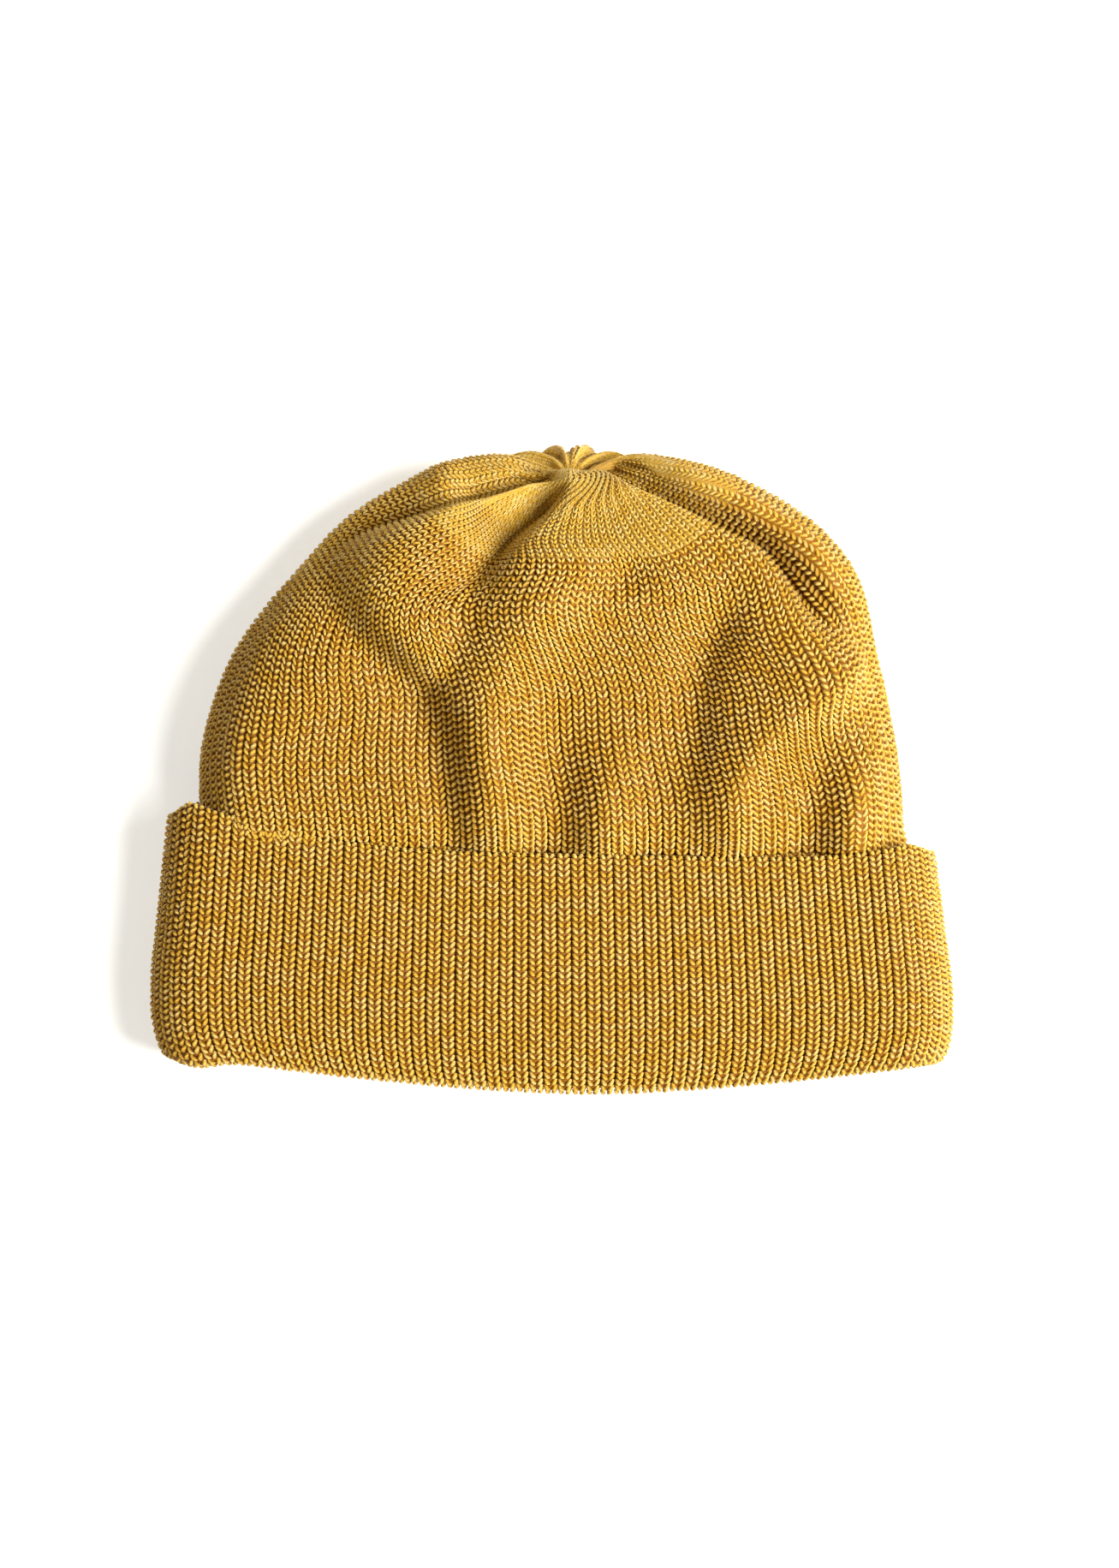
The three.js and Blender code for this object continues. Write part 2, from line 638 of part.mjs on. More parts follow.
// Plain-knit top: its wales close up in pairs into small pleats before they reach the gather
function plainCrownRing(reach) {
  const angles = crownAngles(reach, PLAIN_COLUMNS);
  const pleat = PLEAT_DEPTH * smoothStep(PLEATS_START, PLEATS_FULL, reach)
    * smoothStep(PLEATS_END, PLEATS_FADE, reach);
  return angles.map((angle, column) => {
    const point = crownFace(reach, angle);
    const normal = normalOf(crownFace, reach, angle, CROWN_STEP);
    return point.addScaledVector(normal, column % 2 === 0 ? 0 : -pleat);
  });
}

// Inside of the crown's wall, smoother than its outside
function crownLiningPoint(reach, angle) {
  const lining = (r, a) => crownFace(r, a, WALL);
  return lining(reach, angle).addScaledVector(normalOf(lining, reach, angle, LINING_STEP), -WALL);
}

function crownLiningRing(reach) {
  const angles = crownAngles(reach, LINING_COLUMNS);
  return angles.map((angle) => crownLiningPoint(alongEdge(reach, angle), angle));
}

function gatherRing(reach) {
  const angles = crownAngles(reach, LINING_COLUMNS);
  return angles.map((angle) => crownFace(reach, angle));
}

// Grown from the gather down the inside to the hem, and up the outside back to the gather
function buildCrown() {
  const shell = new Shell();
  const gather = crownRing(GATHER_REACH, 0);
  const liningTip = gather.clone().add(LINING_TIP_SHIFT);
  const innermost = shell.addRing(crownLiningRing(LINING_ROWS[0]));
  shell.close(innermost, liningTip, true);
  for (const reach of LINING_ROWS.slice(1)) shell.addRing(crownLiningRing(reach));
  const hemAngles = columnAngles(cuffFace, 0.5, LINING_COLUMNS, evenly);
  shell.addRing(hemAngles.map((angle) => crownLiningPoint(HEM_REACH, angle)));
  shell.addRing(hemAngles.map((angle) => crownFace(HEM_REACH, angle)));
  for (const reach of RIBBED_ROWS) shell.addRing(ribbedCrownRing(reach));
  for (const reach of PLAIN_ROWS) shell.addRing(plainCrownRing(reach));
  for (const reach of GATHER_ROWS) shell.addRing(gatherRing(reach));
  shell.close(shell.last, gather, false);
  return shell.geometry();
}

// The cuff's strip: outer leg, fold at the mouth, short inner leg, and back up between the legs
function buildCuff() {
  const shell = new Shell();
  const fine = columnAngles(cuffFace, 0.5, RIB_COLUMNS, evenly);
  const coarse = columnAngles(cuffFace, 0.5, LINING_COLUMNS, evenly);
  const topOf = (angle) => {
    const edges = cuffEdges(cuffFace(0.5, angle).x);
    return edges.top - edges.fold;
  };
  const ribbed = (make) => fine.map((angle, column) => {
    const point = make(angle, 0);
    return make(angle, ribSink(column, point.z));
  });
  const rim = ribbed((angle, sink) => cuffPoint(topOf(angle), RIM_ROUND + sink / 2, angle));
  const firstRing = shell.addRing(rim);
  shell.addRing(ribbed((angle, sink) => cuffPoint(topOf(angle) - RIM_ROUND, sink, angle)));
  for (const rise of CUFF_OUTER_ROWS) {
    shell.addRing(ribbed((angle, sink) => cuffPoint(topOf(angle) * rise, sink, angle)));
  }
  shell.addRing(ribbed((angle, sink) => cuffPoint(FOLD_RADIUS, sink, angle)));
  for (const turn of FOLD_OUTER_TURNS) {
    shell.addRing(ribbed((angle, sink) => foldPoint(turn, FOLD_RADIUS - sink, angle)));
  }
  const lined = (make) => shell.addRing(coarse.map(make));
  for (const turn of FOLD_INNER_TURNS) lined((angle) => foldPoint(turn, FOLD_RADIUS, angle));
  lined((angle) => cuffPoint(INNER_LEG, 2 * FOLD_RADIUS, angle));
  lined((angle) => cuffPoint(INNER_LEG, INNER_LEG_DEPTH, angle));
  lined((angle) => foldPoint(180, LEG_GAP / 2, angle));
  lined((angle) => foldPoint(90, LEG_GAP / 2, angle));
  lined((angle) => cuffPoint(FOLD_RADIUS, WALL, angle));
  lined((angle) => cuffPoint(INNER_LEG, WALL, angle));
  for (const rise of CUFF_LINING_ROWS) lined((angle) => cuffPoint(topOf(angle) * rise, WALL, angle));
  lined((angle) => cuffPoint(topOf(angle) - RIM_ROUND, WALL, angle));
  lined((angle) => cuffPoint(topOf(angle), WALL - RIM_ROUND, angle));
  shell.bridge(shell.last, firstRing);
  return shell.geometry();
}

function knitMaterial(colour) {
  return new THREE.MeshStandardMaterial({ color: colour, roughness: 0.95, metalness: 0 });
}

function makePiece(name, geometry, colour) {
  const mesh = new THREE.Mesh(geometry, knitMaterial(colour));
  mesh.name = name;
  return mesh;
}

const cap = new THREE.Group();
cap.add(makePiece('crown', buildCrown(), 0xbd913b));
cap.add(makePiece('cuff', buildCuff(), 0xb98c38));

// The origin is at the middle of the cap's underside
const box = new THREE.Box3().setFromObject(cap);
cap.position.set(-(box.min.x + box.max.x) / 2, -(box.min.y + box.max.y) / 2, -box.min.z);

export default cap;
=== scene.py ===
"""Chunky ribbed watch cap lying on its back, with every stitch of its knit modelled."""
import math

import bpy
import numpy as np
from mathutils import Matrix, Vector


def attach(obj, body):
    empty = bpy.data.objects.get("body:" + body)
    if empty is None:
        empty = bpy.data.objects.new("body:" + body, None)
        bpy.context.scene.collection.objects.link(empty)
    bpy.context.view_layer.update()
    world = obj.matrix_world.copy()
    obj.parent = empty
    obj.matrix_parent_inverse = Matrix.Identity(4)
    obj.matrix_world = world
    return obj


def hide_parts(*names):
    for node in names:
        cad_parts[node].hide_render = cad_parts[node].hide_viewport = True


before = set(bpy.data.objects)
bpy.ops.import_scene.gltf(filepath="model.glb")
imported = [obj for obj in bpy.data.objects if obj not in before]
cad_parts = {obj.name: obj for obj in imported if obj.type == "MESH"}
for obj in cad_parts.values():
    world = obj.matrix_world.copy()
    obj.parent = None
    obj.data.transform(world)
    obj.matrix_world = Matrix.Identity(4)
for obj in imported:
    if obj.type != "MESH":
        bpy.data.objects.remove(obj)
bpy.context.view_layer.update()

# Sizes in millimetres; the meshes are written in metres
MM = 0.001
RIBS = 120
WALL = 3.0
LEG_GAP = 0.8
SEAT_GAP = 0.3
INNER_LEG = 24.0
FOLD_RADIUS = WALL + LEG_GAP / 2
INNER_LEG_DEPTH = WALL + LEG_GAP
RIM_ROUND = 0.9

# The cap's own drawing frame sits this far from the row's frame
PLACE = np.array([-0.04, -0.61, 0.0])

HEM_REACH = -46.0
CUFF_REACH = 0.0
PLAIN_REACH = 88.0
GATHER_REACH = 136.0

# Cross-sections of the crown along its ribs, from the hem inside the cuff to the gather
CROWN_COLUMNS = (
    "reach", "front_y", "side_y", "back_y", "left", "right", "end_round", "dome", "low", "middle", "top",
)
CROWN_SECTIONS = (
    (-46, -71, -64, -71, -112.6, 112.8, 15, 0, 3.8, 17, 30.2),
    (-23, -48, -41, -48, -108, 108.4, 16, 0, 3.8, 17.4, 31),
    (0, -25, -17, -25, -102.4, 102.7, 18, 0.5, 3.9, 18, 32.2),
    (10, -15.2, -5.8, -15.7, -102.6, 101.8, 19, 1.5, 3.8, 18, 36),
    (24, -1.2, 8.6, -2.3, -101.6, 100, 18, 1.5, -1.5, 18, 37),
    (42, 16, 33, 14, -93.3, 94.8, 19, 2, -2.5, 18.5, 37.5),
    (64, 38, 59.5, 36, -73.2, 84.8, 23, 2, -2.5, 19, 41.5),
    (77, 50.5, 74.5, 50, -58.6, 72.4, 27, 1.5, -2, 19, 44.5),
    (88, 61, 84.5, 66, -42, 55.5, 29, 1, -1.5, 19.5, 46),
    (102, 71.5, 90.5, 84, -28, 36, 28, 0, 0.5, 20.5, 44),
    (113, 80.5, 92, 95.4, -13, 23, 18, 0, 8, 21.5, 42),
    (122, 87, 89, 95, -3, 14, 8.5, 0, 16, 21, 36.5),
    (130, 86.6, 86.4, 90.5, 1.6, 9, 3.7, 0, 20, 19.5, 27),
    (136, 85.2, 85.2, 85.2, 5.2, 5.2, 0, 0, 18.5, 18.5, 18.5),
)

# Y of the cuff's fold at the mouth and of its top edge, in the middle of the cap
MOUTH_Y = -95.4
CUFF_TOP_Y = -24.6

# Cross-sections of the cuff, from its fold at the mouth (rise 0) to its top edge (rise 1)
CUFF_COLUMNS = ("rise", "left", "right", "end_round", "low", "top")
CUFF_SECTIONS = (
    (0, -112, 112.4, 14, 2, 29),
    (0.06, -114.8, 115.2, 15.5, 0.4, 31),
    (0.14, -116.4, 116.6, 16.5, -0.6, 32.6),
    (0.3, -116.9, 117, 17, -0.8, 34),
    (0.6, -114.9, 114.9, 17.5, -0.8, 35.2),
    (1, -112, 111.6, 18, -0.8, 36.6),
)

# Folds on the upper side: width to the left of the path and to its right, each as (start, end), taper,
# height, fade in, fade out, edge, lean and the path in plan. Taper and both fades are shares of the path's
# length, and edge is the power of the flank.
SIDE_FOLDS = ("right_lobe",)
FOLDS = {
    "crown_valley": ((2.2, 6.5), (6, 10), 1, -14, 0.25, 0.5, 1.4, (0.2, -0.1),
                     ((5, 85), (2, 82), (-4, 77), (-16, 66), (-25, 54), (-31, 45))),
    "left_groove": ((1.5, 3), (4, 7), 1, -10, 0.12, 0.5, 1.3, (0.1, -0.3),
                    ((5, 85), (-6, 85.4), (-14, 83.2), (-30, 79), (-52, 72), (-67, 62), (-75, 50))),
    "right_groove": ((4.5, 6), (1.2, 2.5), 1, -16, 0.15, 0.4, 1.5, (-0.2, -0.2),
                     ((6, 86), (15, 89.5), (25, 84.7), (42, 77), (53, 71.5), (62, 67), (69.5, 59), (75, 47),
                      (80, 34))),
    "right_lobe": ((5, 7), (4.5, 6), 1, 10, 0.25, 0.4, 2.2, (0, 0),
                   ((20, 90.5), (32, 88), (48, 81.5), (64, 73), (76.5, 61), (83.5, 47), (87, 28))),
    "left_ridge": ((12, 11), (15, 15), 0.7, 12, 0.25, 0.4, 2, (0, 0),
                   ((10, 70), (3, 56), (-6, 44), (-13, 34), (-17, 24), (-17, 12), (-16, -10), (-15, -34))),
    "left_lobe": ((16, 16), (15, 12), 1, 11, 0.12, 0.35, 2.2, (0, 0),
                  ((-20, 79), (-37, 68), (-46, 55), (-44, 45), (-37, 37), (-28, 29), (-21, 20))),
    "left_swell": ((28, 32), (10, 8), 1, 6, 0.3, 0.5, 2, (0, 0),
                   ((-61, 60), (-78, 38), (-87, 14), (-90, -34))),
    "right_tongue": ((8, 7), (26, 8), 1, 11, 0.2, 0.35, 1.9, (0, 0),
                     ((92, 38), (82, 27), (70, 16), (60, 5), (54, -10), (52, -34))),
    "centre_ridge": ((8, 8), (8, 8), 1, 5, 0.5, 0.35, 2.2, (0, 0), ((20, 20), (18, 4), (15, -34))),
    "corner_ridge": ((5, 7), (5, 7), 1, 4, 0.6, 0.35, 2.2, (0, 0), ((96, 14), (91, -4), (87, -34))),
    "west_valley": ((7, 7), (9, 7), 1, -6, 0.35, 0.35, 2, (0, 0),
                    ((-66, 58), (-60, 46), (-53, 36), (-42, 26), (-34, 13), (-31, 0), (-28, -45))),
    "middle_valley": ((7, 9), (6, 9), 1, -5, 0.5, 0.4, 2, (0, 0), ((4, 26), (0, 0), (-1, -45))),
    "east_valley": ((7, 6), (11, 8), 1, -7, 0.25, 0.75, 2, (0, 0),
                    ((59, 58), (51, 46), (45, 34), (42, 22), (41, 8), (38, -8), (37, -25))),
    "corner_valley": ((6, 7), (6, 7), 1, -5, 0.5, 0.4, 2, (0, 0), ((84, 18), (76, -6), (72, -45))),
    "dimple": ((6, 6), (6, 6), 1, -4, 0.5, 0.5, 2, (0, 0), ((22, 64), (21, 48))),
}
FOLD_STEPS = 8
RIDGE_NARROWING = 0.7
FADE_MARGIN = 0.02
BLEND = 4.0

# Reaches where folds turn from square on the wall to upright, and where they end before the gather
UPRIGHT_FROM, UPRIGHT_FULL = 50, 85
FOLDS_FADE, FOLDS_END = 120, 134
SIDE_ONSET = (-0.4, 0.1)
UPPER_ONSET = (0.02, 0.35)

# Short grooves that run into the gather from behind: ring angle in degrees, depth, half width in degrees
GROOVES_START, GROOVES_FULL, GROOVES_FADE, GROOVES_END = 84, 108, 122, 137
GATHER_GROOVES = {
    "left_under": (205, 3, 9),
    "left_back": (236, 4, 9),
    "middle_back": (268, 2, 12),
    "right_under": (305, 3, 9),
    "right_back": (335, 4, 9),
}

# Lines in plan that the ribs follow, and the rib that lies on each of them near the gather
SEAMS = {
    "right_side": (26, None),
    "right_crease": (34, FOLDS["right_groove"][-1] + ((83, 10), (84, -40))),
    "valley": (66, FOLDS["crown_valley"][-1] + ((-25, 10), (-23, -40))),
    "left_crease": (84, FOLDS["left_groove"][-1] + ((-84, 30), (-88, 0), (-90, -40))),
    "left_side": (90, None),
}
SEAM_FROM, SEAM_FULL, SEAM_HOLD = 12, 72, 118

# Behind the gather the ribs crowd together, but for those of the two lobes that show over it
BACK_CROWDING = 3.0
CROWDING_FROM, CROWDING_FULL = 88, 112
BACK_LOBES = 268
BACK_LOBES_WIDTH = 30
BACK_ONSET = (0, -0.3)

# Ribs are spaced along a face that has part of the folds' height, and more of it near the gather
SPACING_LOW, SPACING_GAIN = 0.5, 0.5
SPACING_FROM, SPACING_FULL = 60, 100

# Points taken to space the ribs, to find the seams and to smooth a fold's path
RING_SAMPLES = 721
SEAM_SAMPLES = 700
SEAM_SMOOTHING = 9
CURVE_SAMPLES = 40

# How softly each piece meets the floor, how a tilted ring bends, and the steps of the normals
CUFF_SOFTNESS = 0.5
CROWN_SOFTNESS = 1.5
RING_BEND = 1.7
FINE_STEP = 0.01
CROWN_STEP = 0.4
LINING_STEP = 0.8


def clamp01(value):
    return np.clip(value, 0.0, 1.0)


def smooth_step(start, end, value):
    t = clamp01((value - start) / (end - start))
    return t * t * (3 - 2 * t)


def unit(vectors):
    return vectors / np.maximum(np.linalg.norm(vectors, axis=-1, keepdims=True), 1e-12)


def row_slopes(keys, values):
    """Slopes of a table's columns at its rows, for a smooth run between them."""
    span = np.diff(keys)[:, None]
    chord = np.diff(values, axis=0) / span
    inner = (chord[:-1] * span[1:] + chord[1:] * span[:-1]) / (span[:-1] + span[1:])
    return np.vstack([chord[:1], inner, chord[-1:]])


def sample_table(table, columns, at):
    """All columns of a table at the given keys, smoothly between its rows."""
    rows = np.array(table, float)
    keys, values = rows[:, 0], rows[:, 1:]
    slopes = row_slopes(keys, values)
    at = np.asarray(at, float)
    i = np.clip(np.searchsorted(keys, at, side="right") - 1, 0, len(keys) - 2)
    span = keys[i + 1] - keys[i]
    t = ((at - keys[i]) / span)[..., None]
    span = span[..., None]
    t2, t3 = t * t, t * t * t
    result = (2 * t3 - 3 * t2 + 1) * values[i] + (t3 - 2 * t2 + t) * slopes[i] * span
    result += (3 * t2 - 2 * t3) * values[i + 1] + (t3 - t2) * slopes[i + 1] * span
    return {name: result[..., k] for k, name in enumerate(columns[1:])}


def rest_on_floor(z, softness):
    """Height with everything below the floor pressed flat onto it."""
    share = clamp01(0.5 + 0.5 * z / softness)
    return z * share + 0.5 * softness * share * (1 - share)


def flat_ring(angle, half, end_round, height):
    """Flattened ring with round ends: x across it, and lift from -1 below to 1 above."""
    turn = 2 * np.pi
    a = np.mod(angle, turn)
    quarter = np.minimum(np.minimum(a, np.abs(np.pi - a)), turn - a)
    end = np.clip(end_round, 0, np.maximum(half, 0))
    level = half - end
    arc = (end + height) * np.pi / 4
    corner = 0.5 * np.pi * arc / np.maximum(arc + level, 1e-9)
    bend = 0.5 * np.pi * np.minimum(quarter / np.maximum(corner, 1e-9), 1)
    flat = (0.5 * np.pi - quarter) / np.maximum(0.5 * np.pi - corner, 1e-9)
    across = np.where(quarter < corner, level + end * np.cos(bend), level * flat)
    return np.sign(np.cos(a)) * across, np.sign(np.sin(a)) * np.sin(bend)


def cuff_edges(x):
    """Y of the cuff's fold at the mouth and of its top edge."""
    fold = MOUTH_Y + 8 * np.abs((x - 12) / 100) ** 1.6 - 3 * np.exp(-(((x + 106) / 9) ** 2))
    left_rise = 15 * np.clip(-x / 110, 0, 1.2) ** 3 - 7 * smooth_step(104, 113, -x)
    right_rise = 7 * np.clip(x / 110, 0, 1.2) ** 6 - 5 * smooth_step(103, 113, x)
    return fold, CUFF_TOP_Y - 0.02 * x + left_rise + right_rise


def cuff_face(rise, angle):
    """Outer face of the cuff."""
    rise, angle = np.broadcast_arrays(rise, angle)
    s = sample_table(CUFF_SECTIONS, CUFF_COLUMNS, rise)
    half_height = (s["top"] - s["low"]) / 2
    across, lift = flat_ring(angle, (s["right"] - s["left"]) / 2, s["end_round"], half_height)
    x = (s["left"] + s["right"]) / 2 + across
    z = (s["top"] + s["low"]) / 2 + lift * half_height
    fold, top = cuff_edges(x)
    return np.stack([x, fold + (top - fold) * rise, rest_on_floor(z, CUFF_SOFTNESS)], axis=-1)


def normal_of(surface, a, b, step_a):
    along_a = surface(a + step_a, b) - surface(a - step_a, b)
    along_b = surface(a, b + FINE_STEP) - surface(a, b - FINE_STEP)
    return unit(np.cross(along_a, along_b))


def cuff_height(angle):
    fold, top = cuff_edges(cuff_face(0.5, angle)[..., 0])
    return top - fold


def cuff_point(above, depth, angle):
    """Point of the cuff's strip: distance above the fold's lowest point, and depth below the outer face."""
    above, depth, angle = np.broadcast_arrays(above, depth, angle)
    rise = above / cuff_height(angle)
    normal = normal_of(cuff_face, rise, angle, FINE_STEP)
    return cuff_face(rise, angle) - normal * depth[..., None]


def fold_point(turn, radius, angle):
    """Point on the fold at the mouth: turn 0 is on the outer face, 180 on the inner face."""
    turn, radius, angle = np.broadcast_arrays(np.radians(turn), radius, angle)
    centre = cuff_point(FOLD_RADIUS, FOLD_RADIUS, angle)
    outward = unit(cuff_point(FOLD_RADIUS, 0, angle) - centre)
    upward = unit(cuff_point(FOLD_RADIUS + 2, FOLD_RADIUS, angle) - centre)
    offset = outward * np.cos(turn)[..., None] - upward * np.sin(turn)[..., None]
    return centre + offset * radius[..., None]


def crown_ring(reach, angle):
    """Crown without its folds."""
    reach, angle = np.broadcast_arrays(reach, angle)
    s = sample_table(CROWN_SECTIONS, CROWN_COLUMNS, reach)
    half = (s["right"] - s["left"]) / 2
    across, lift = flat_ring(angle, half, s["end_round"], (s["top"] - s["low"]) / 2)
    up, down = np.maximum(lift, 0), np.maximum(-lift, 0)
    front = (s["front_y"] - s["side_y"]) * up ** RING_BEND
    back = (s["back_y"] - s["side_y"]) * down ** RING_BEND
    y = s["side_y"] + front + back
    dome = s["dome"] * (1 - (across / np.maximum(half, 1e-9)) ** 2)
    z = s["middle"] + (s["top"] + dome - s["middle"]) * up - (s["middle"] - s["low"]) * down
    point = np.stack([(s["left"] + s["right"]) / 2 + across, y, rest_on_floor(z, CROWN_SOFTNESS)], axis=-1)
    tucked = smooth_step(CUFF_REACH, HEM_REACH, reach)
    inside = tucked > 0
    if inside.any():
        above = INNER_LEG + SEAT_GAP + reach[inside] - HEM_REACH
        in_cuff = cuff_point(above, INNER_LEG_DEPTH, angle[inside])
        share = tucked[inside][:, None]
        point[inside] = point[inside] * (1 - share) + in_cuff * share
    return point


def fold_line(path):
    """Even points along a smooth curve through the path."""
    p = np.array(path, float)
    p = np.vstack([p[:1], p, p[-1:]])
    t = np.linspace(0, 1, CURVE_SAMPLES)[:, None]
    pieces = []
    for a, b, c, d in zip(p, p[1:], p[2:], p[3:]):
        square, cube = (2 * a - 5 * b + 4 * c - d) * t**2, (3 * b - a - 3 * c + d) * t**3
        pieces.append(0.5 * (2 * b + (c - a) * t + square + cube))
    dense = np.vstack(pieces)
    travelled = np.concatenate([[0], np.cumsum(np.linalg.norm(np.diff(dense, axis=0), axis=1))])
    even = np.linspace(0, travelled[-1], FOLD_STEPS * (len(path) - 1) + 1)
    return np.stack([np.interp(even, travelled, dense[:, k]) for k in (0, 1)], axis=-1)


def place_on_path(x, y, line):
    """Distance in plan from points to a line, the share of the way along it, and the side from -1 to 1."""
    best = np.full(x.shape, np.inf)
    share = np.zeros(x.shape)
    side = np.zeros(x.shape)
    for i, (a, b) in enumerate(zip(line, line[1:])):
        dx, dy = b - a
        off_x, off_y = x - a[0], y - a[1]
        t = clamp01((off_x * dx + off_y * dy) / (dx * dx + dy * dy))
        distance = np.hypot(off_x - t * dx, off_y - t * dy)
        nearer = distance < best
        best = np.where(nearer, distance, best)
        share = np.where(nearer, (i + t) / (len(line) - 1), share)
        offset = (off_y * dx - off_x * dy) / np.hypot(dx, dy)
        side = np.where(nearer, np.clip(offset, -1, 1), side)
    return best, share, side


FOLD_LINES = {name: fold_line(fold[-1]) for name, fold in FOLDS.items()}


def fold_heights(reach, angle, point, widen):
    """Heights of the folds and of the gather's grooves. With widen, valleys are wider and ridges narrower, as
    they are inside the wall."""
    folds = np.zeros(reach.shape)
    grooves = np.zeros(reach.shape)
    lean = np.zeros(reach.shape + (2,))
    upper = np.sin(angle) > SIDE_ONSET[0]
    lift = np.sin(angle[upper])
    x, y, r = point[..., 0][upper], point[..., 1][upper], reach[upper]
    ridges = np.zeros(x.shape)
    valleys = np.full(x.shape, 1e-9)
    leaning = np.zeros(x.shape + (2,))
    for name, (left, right, taper, tall, fade_in, fade_out, edge, sideways, _) in FOLDS.items():
        distance, share, side = place_on_path(x, y, FOLD_LINES[name])
        fade = smooth_step(1 + FADE_MARGIN, 1 - fade_out, share)
        if fade_in > 0:
            fade = fade * smooth_step(-FADE_MARGIN, fade_in, share)
        tapered = np.minimum(share / taper, 1)
        left_width = left[0] + (left[1] - left[0]) * tapered
        right_width = right[0] + (right[1] - right[0]) * tapered
        gain = -RIDGE_NARROWING * widen if tall > 0 else widen
        width = (left_width * (1 + side) + right_width * (1 - side)) / 2 + gain
        onset = SIDE_ONSET if name in SIDE_FOLDS else UPPER_ONSET
        amount = np.abs(tall) * np.exp(-((distance / width) ** edge)) * fade * smooth_step(*onset, lift)
        if tall > 0:
            ridges += amount ** BLEND
        else:
            valleys += amount ** BLEND
            leaning += (amount ** BLEND)[:, None] * sideways
    total = ridges ** (1 / BLEND) - valleys ** (1 / BLEND)
    shown = smooth_step(FOLDS_END, FOLDS_FADE, r)
    folds[upper] = total * shown
    lean[upper] = leaning * (shown / valleys ** (1 - 1 / BLEND))[:, None]
    near_gather = smooth_step(GROOVES_START, GROOVES_FULL, reach)
    near_gather = near_gather * smooth_step(GROOVES_END, GROOVES_FADE, reach)
    for groove_angle, depth, half_width in GATHER_GROOVES.values():
        away = np.mod(np.degrees(angle) - groove_angle + 180, 360) - 180
        grooves -= depth * np.exp(-((away / half_width) ** 2)) * near_gather
    return folds, grooves, lean


def crown_face(reach, angle, widen=0.0):
    """Outer face of the crown, with its folds."""
    reach, angle = np.broadcast_arrays(reach, angle)
    point = crown_ring(reach, angle)
    folds, grooves, lean = fold_heights(reach, angle, point, widen)
    upright = smooth_step(UPRIGHT_FROM, UPRIGHT_FULL, reach)
    outward = folds * (1 - upright) + grooves
    point = point + normal_of(crown_ring, reach, angle, CROWN_STEP) * outward[..., None]
    point[..., 2] += folds * upright
    point[..., :2] += lean * upright[..., None]
    point[..., 2] = np.maximum(point[..., 2], 0)
    return point


def crowding(reach, angle):
    pull = BACK_CROWDING * smooth_step(CROWDING_FROM, CROWDING_FULL, reach)
    shown = np.exp(-(((np.mod(np.degrees(angle), 360) - BACK_LOBES) / BACK_LOBES_WIDTH) ** 4))
    return 1 + pull * (1 - shown) * smooth_step(*BACK_ONSET, np.sin(angle))


def crown_spacing(reach, angle):
    """Face along which the ribs are spaced: part of the way from the plain ring to the folds."""
    share = SPACING_LOW + SPACING_GAIN * smooth_step(SPACING_FROM, SPACING_FULL, reach)[..., None]
    return crown_ring(reach, angle) * (1 - share) + crown_face(reach, angle) * share


def column_angles(surface, rows, columns, weight, seams=None):
    """Ring angles of evenly spaced columns on each row, counted from the middle of the back."""
    samples = np.linspace(-0.5 * np.pi, 1.5 * np.pi, RING_SAMPLES)[None, :]
    rows = np.asarray(rows, float)[:, None]
    points = surface(rows, samples)
    step = np.linalg.norm(np.diff(points, axis=1), axis=-1)
    step = step * weight(rows, (samples[:, 1:] + samples[:, :-1]) / 2)
    travelled = np.concatenate([np.zeros((len(rows), 1)), np.cumsum(step, axis=1)], axis=1)
    wanted = np.arange(columns) / columns
    angles = []
    for row, along in zip(rows[:, 0], travelled / travelled[:, -1:]):
        if seams is not None:
            along = seams(row, samples[0], along)
        angles.append(np.interp(wanted, along, samples[0]))
    return np.array(angles)


def seam_table():
    """Ring angles of the seams on each millimetre of reach."""
    rows = np.arange(0, SEAM_HOLD + 1.0)
    samples = np.linspace(0.01, np.pi - 0.01, SEAM_SAMPLES)
    ring = crown_ring(rows[:, None], samples[None, :])
    table = []
    for name, (_, path) in SEAMS.items():
        if path is None:
            table.append(np.full(len(rows), 0.0 if name == "right_side" else np.pi))
            continue
        distance, _, _ = place_on_path(ring[..., 0], ring[..., 1], fold_line(path))
        nearest = samples[np.argmin(distance, axis=1)]
        padded = np.pad(nearest, SEAM_SMOOTHING // 2, mode="edge")
        table.append(np.convolve(padded, np.full(SEAM_SMOOTHING, 1 / SEAM_SMOOTHING), mode="valid"))
    return rows, np.array(table)


SEAM_ROWS, SEAM_ANGLES = seam_table()


def follow_seams(reach, samples, along):
    """Shifts the ribs on one ring, so that each seam has its own rib on it."""
    angles = [np.interp(reach, SEAM_ROWS, line) for line in SEAM_ANGLES]
    natural = np.interp(angles, samples, along)
    wanted = np.array([rib for rib, _ in SEAMS.values()]) / RIBS
    target = natural + (wanted - natural) * smooth_step(SEAM_FROM, SEAM_FULL, reach)
    return np.interp(along, np.concatenate([[0], natural, [1]]), np.concatenate([[0], target, [1]]))


def evenly(rows, angles):
    return np.ones(np.broadcast_shapes(rows.shape, angles.shape))


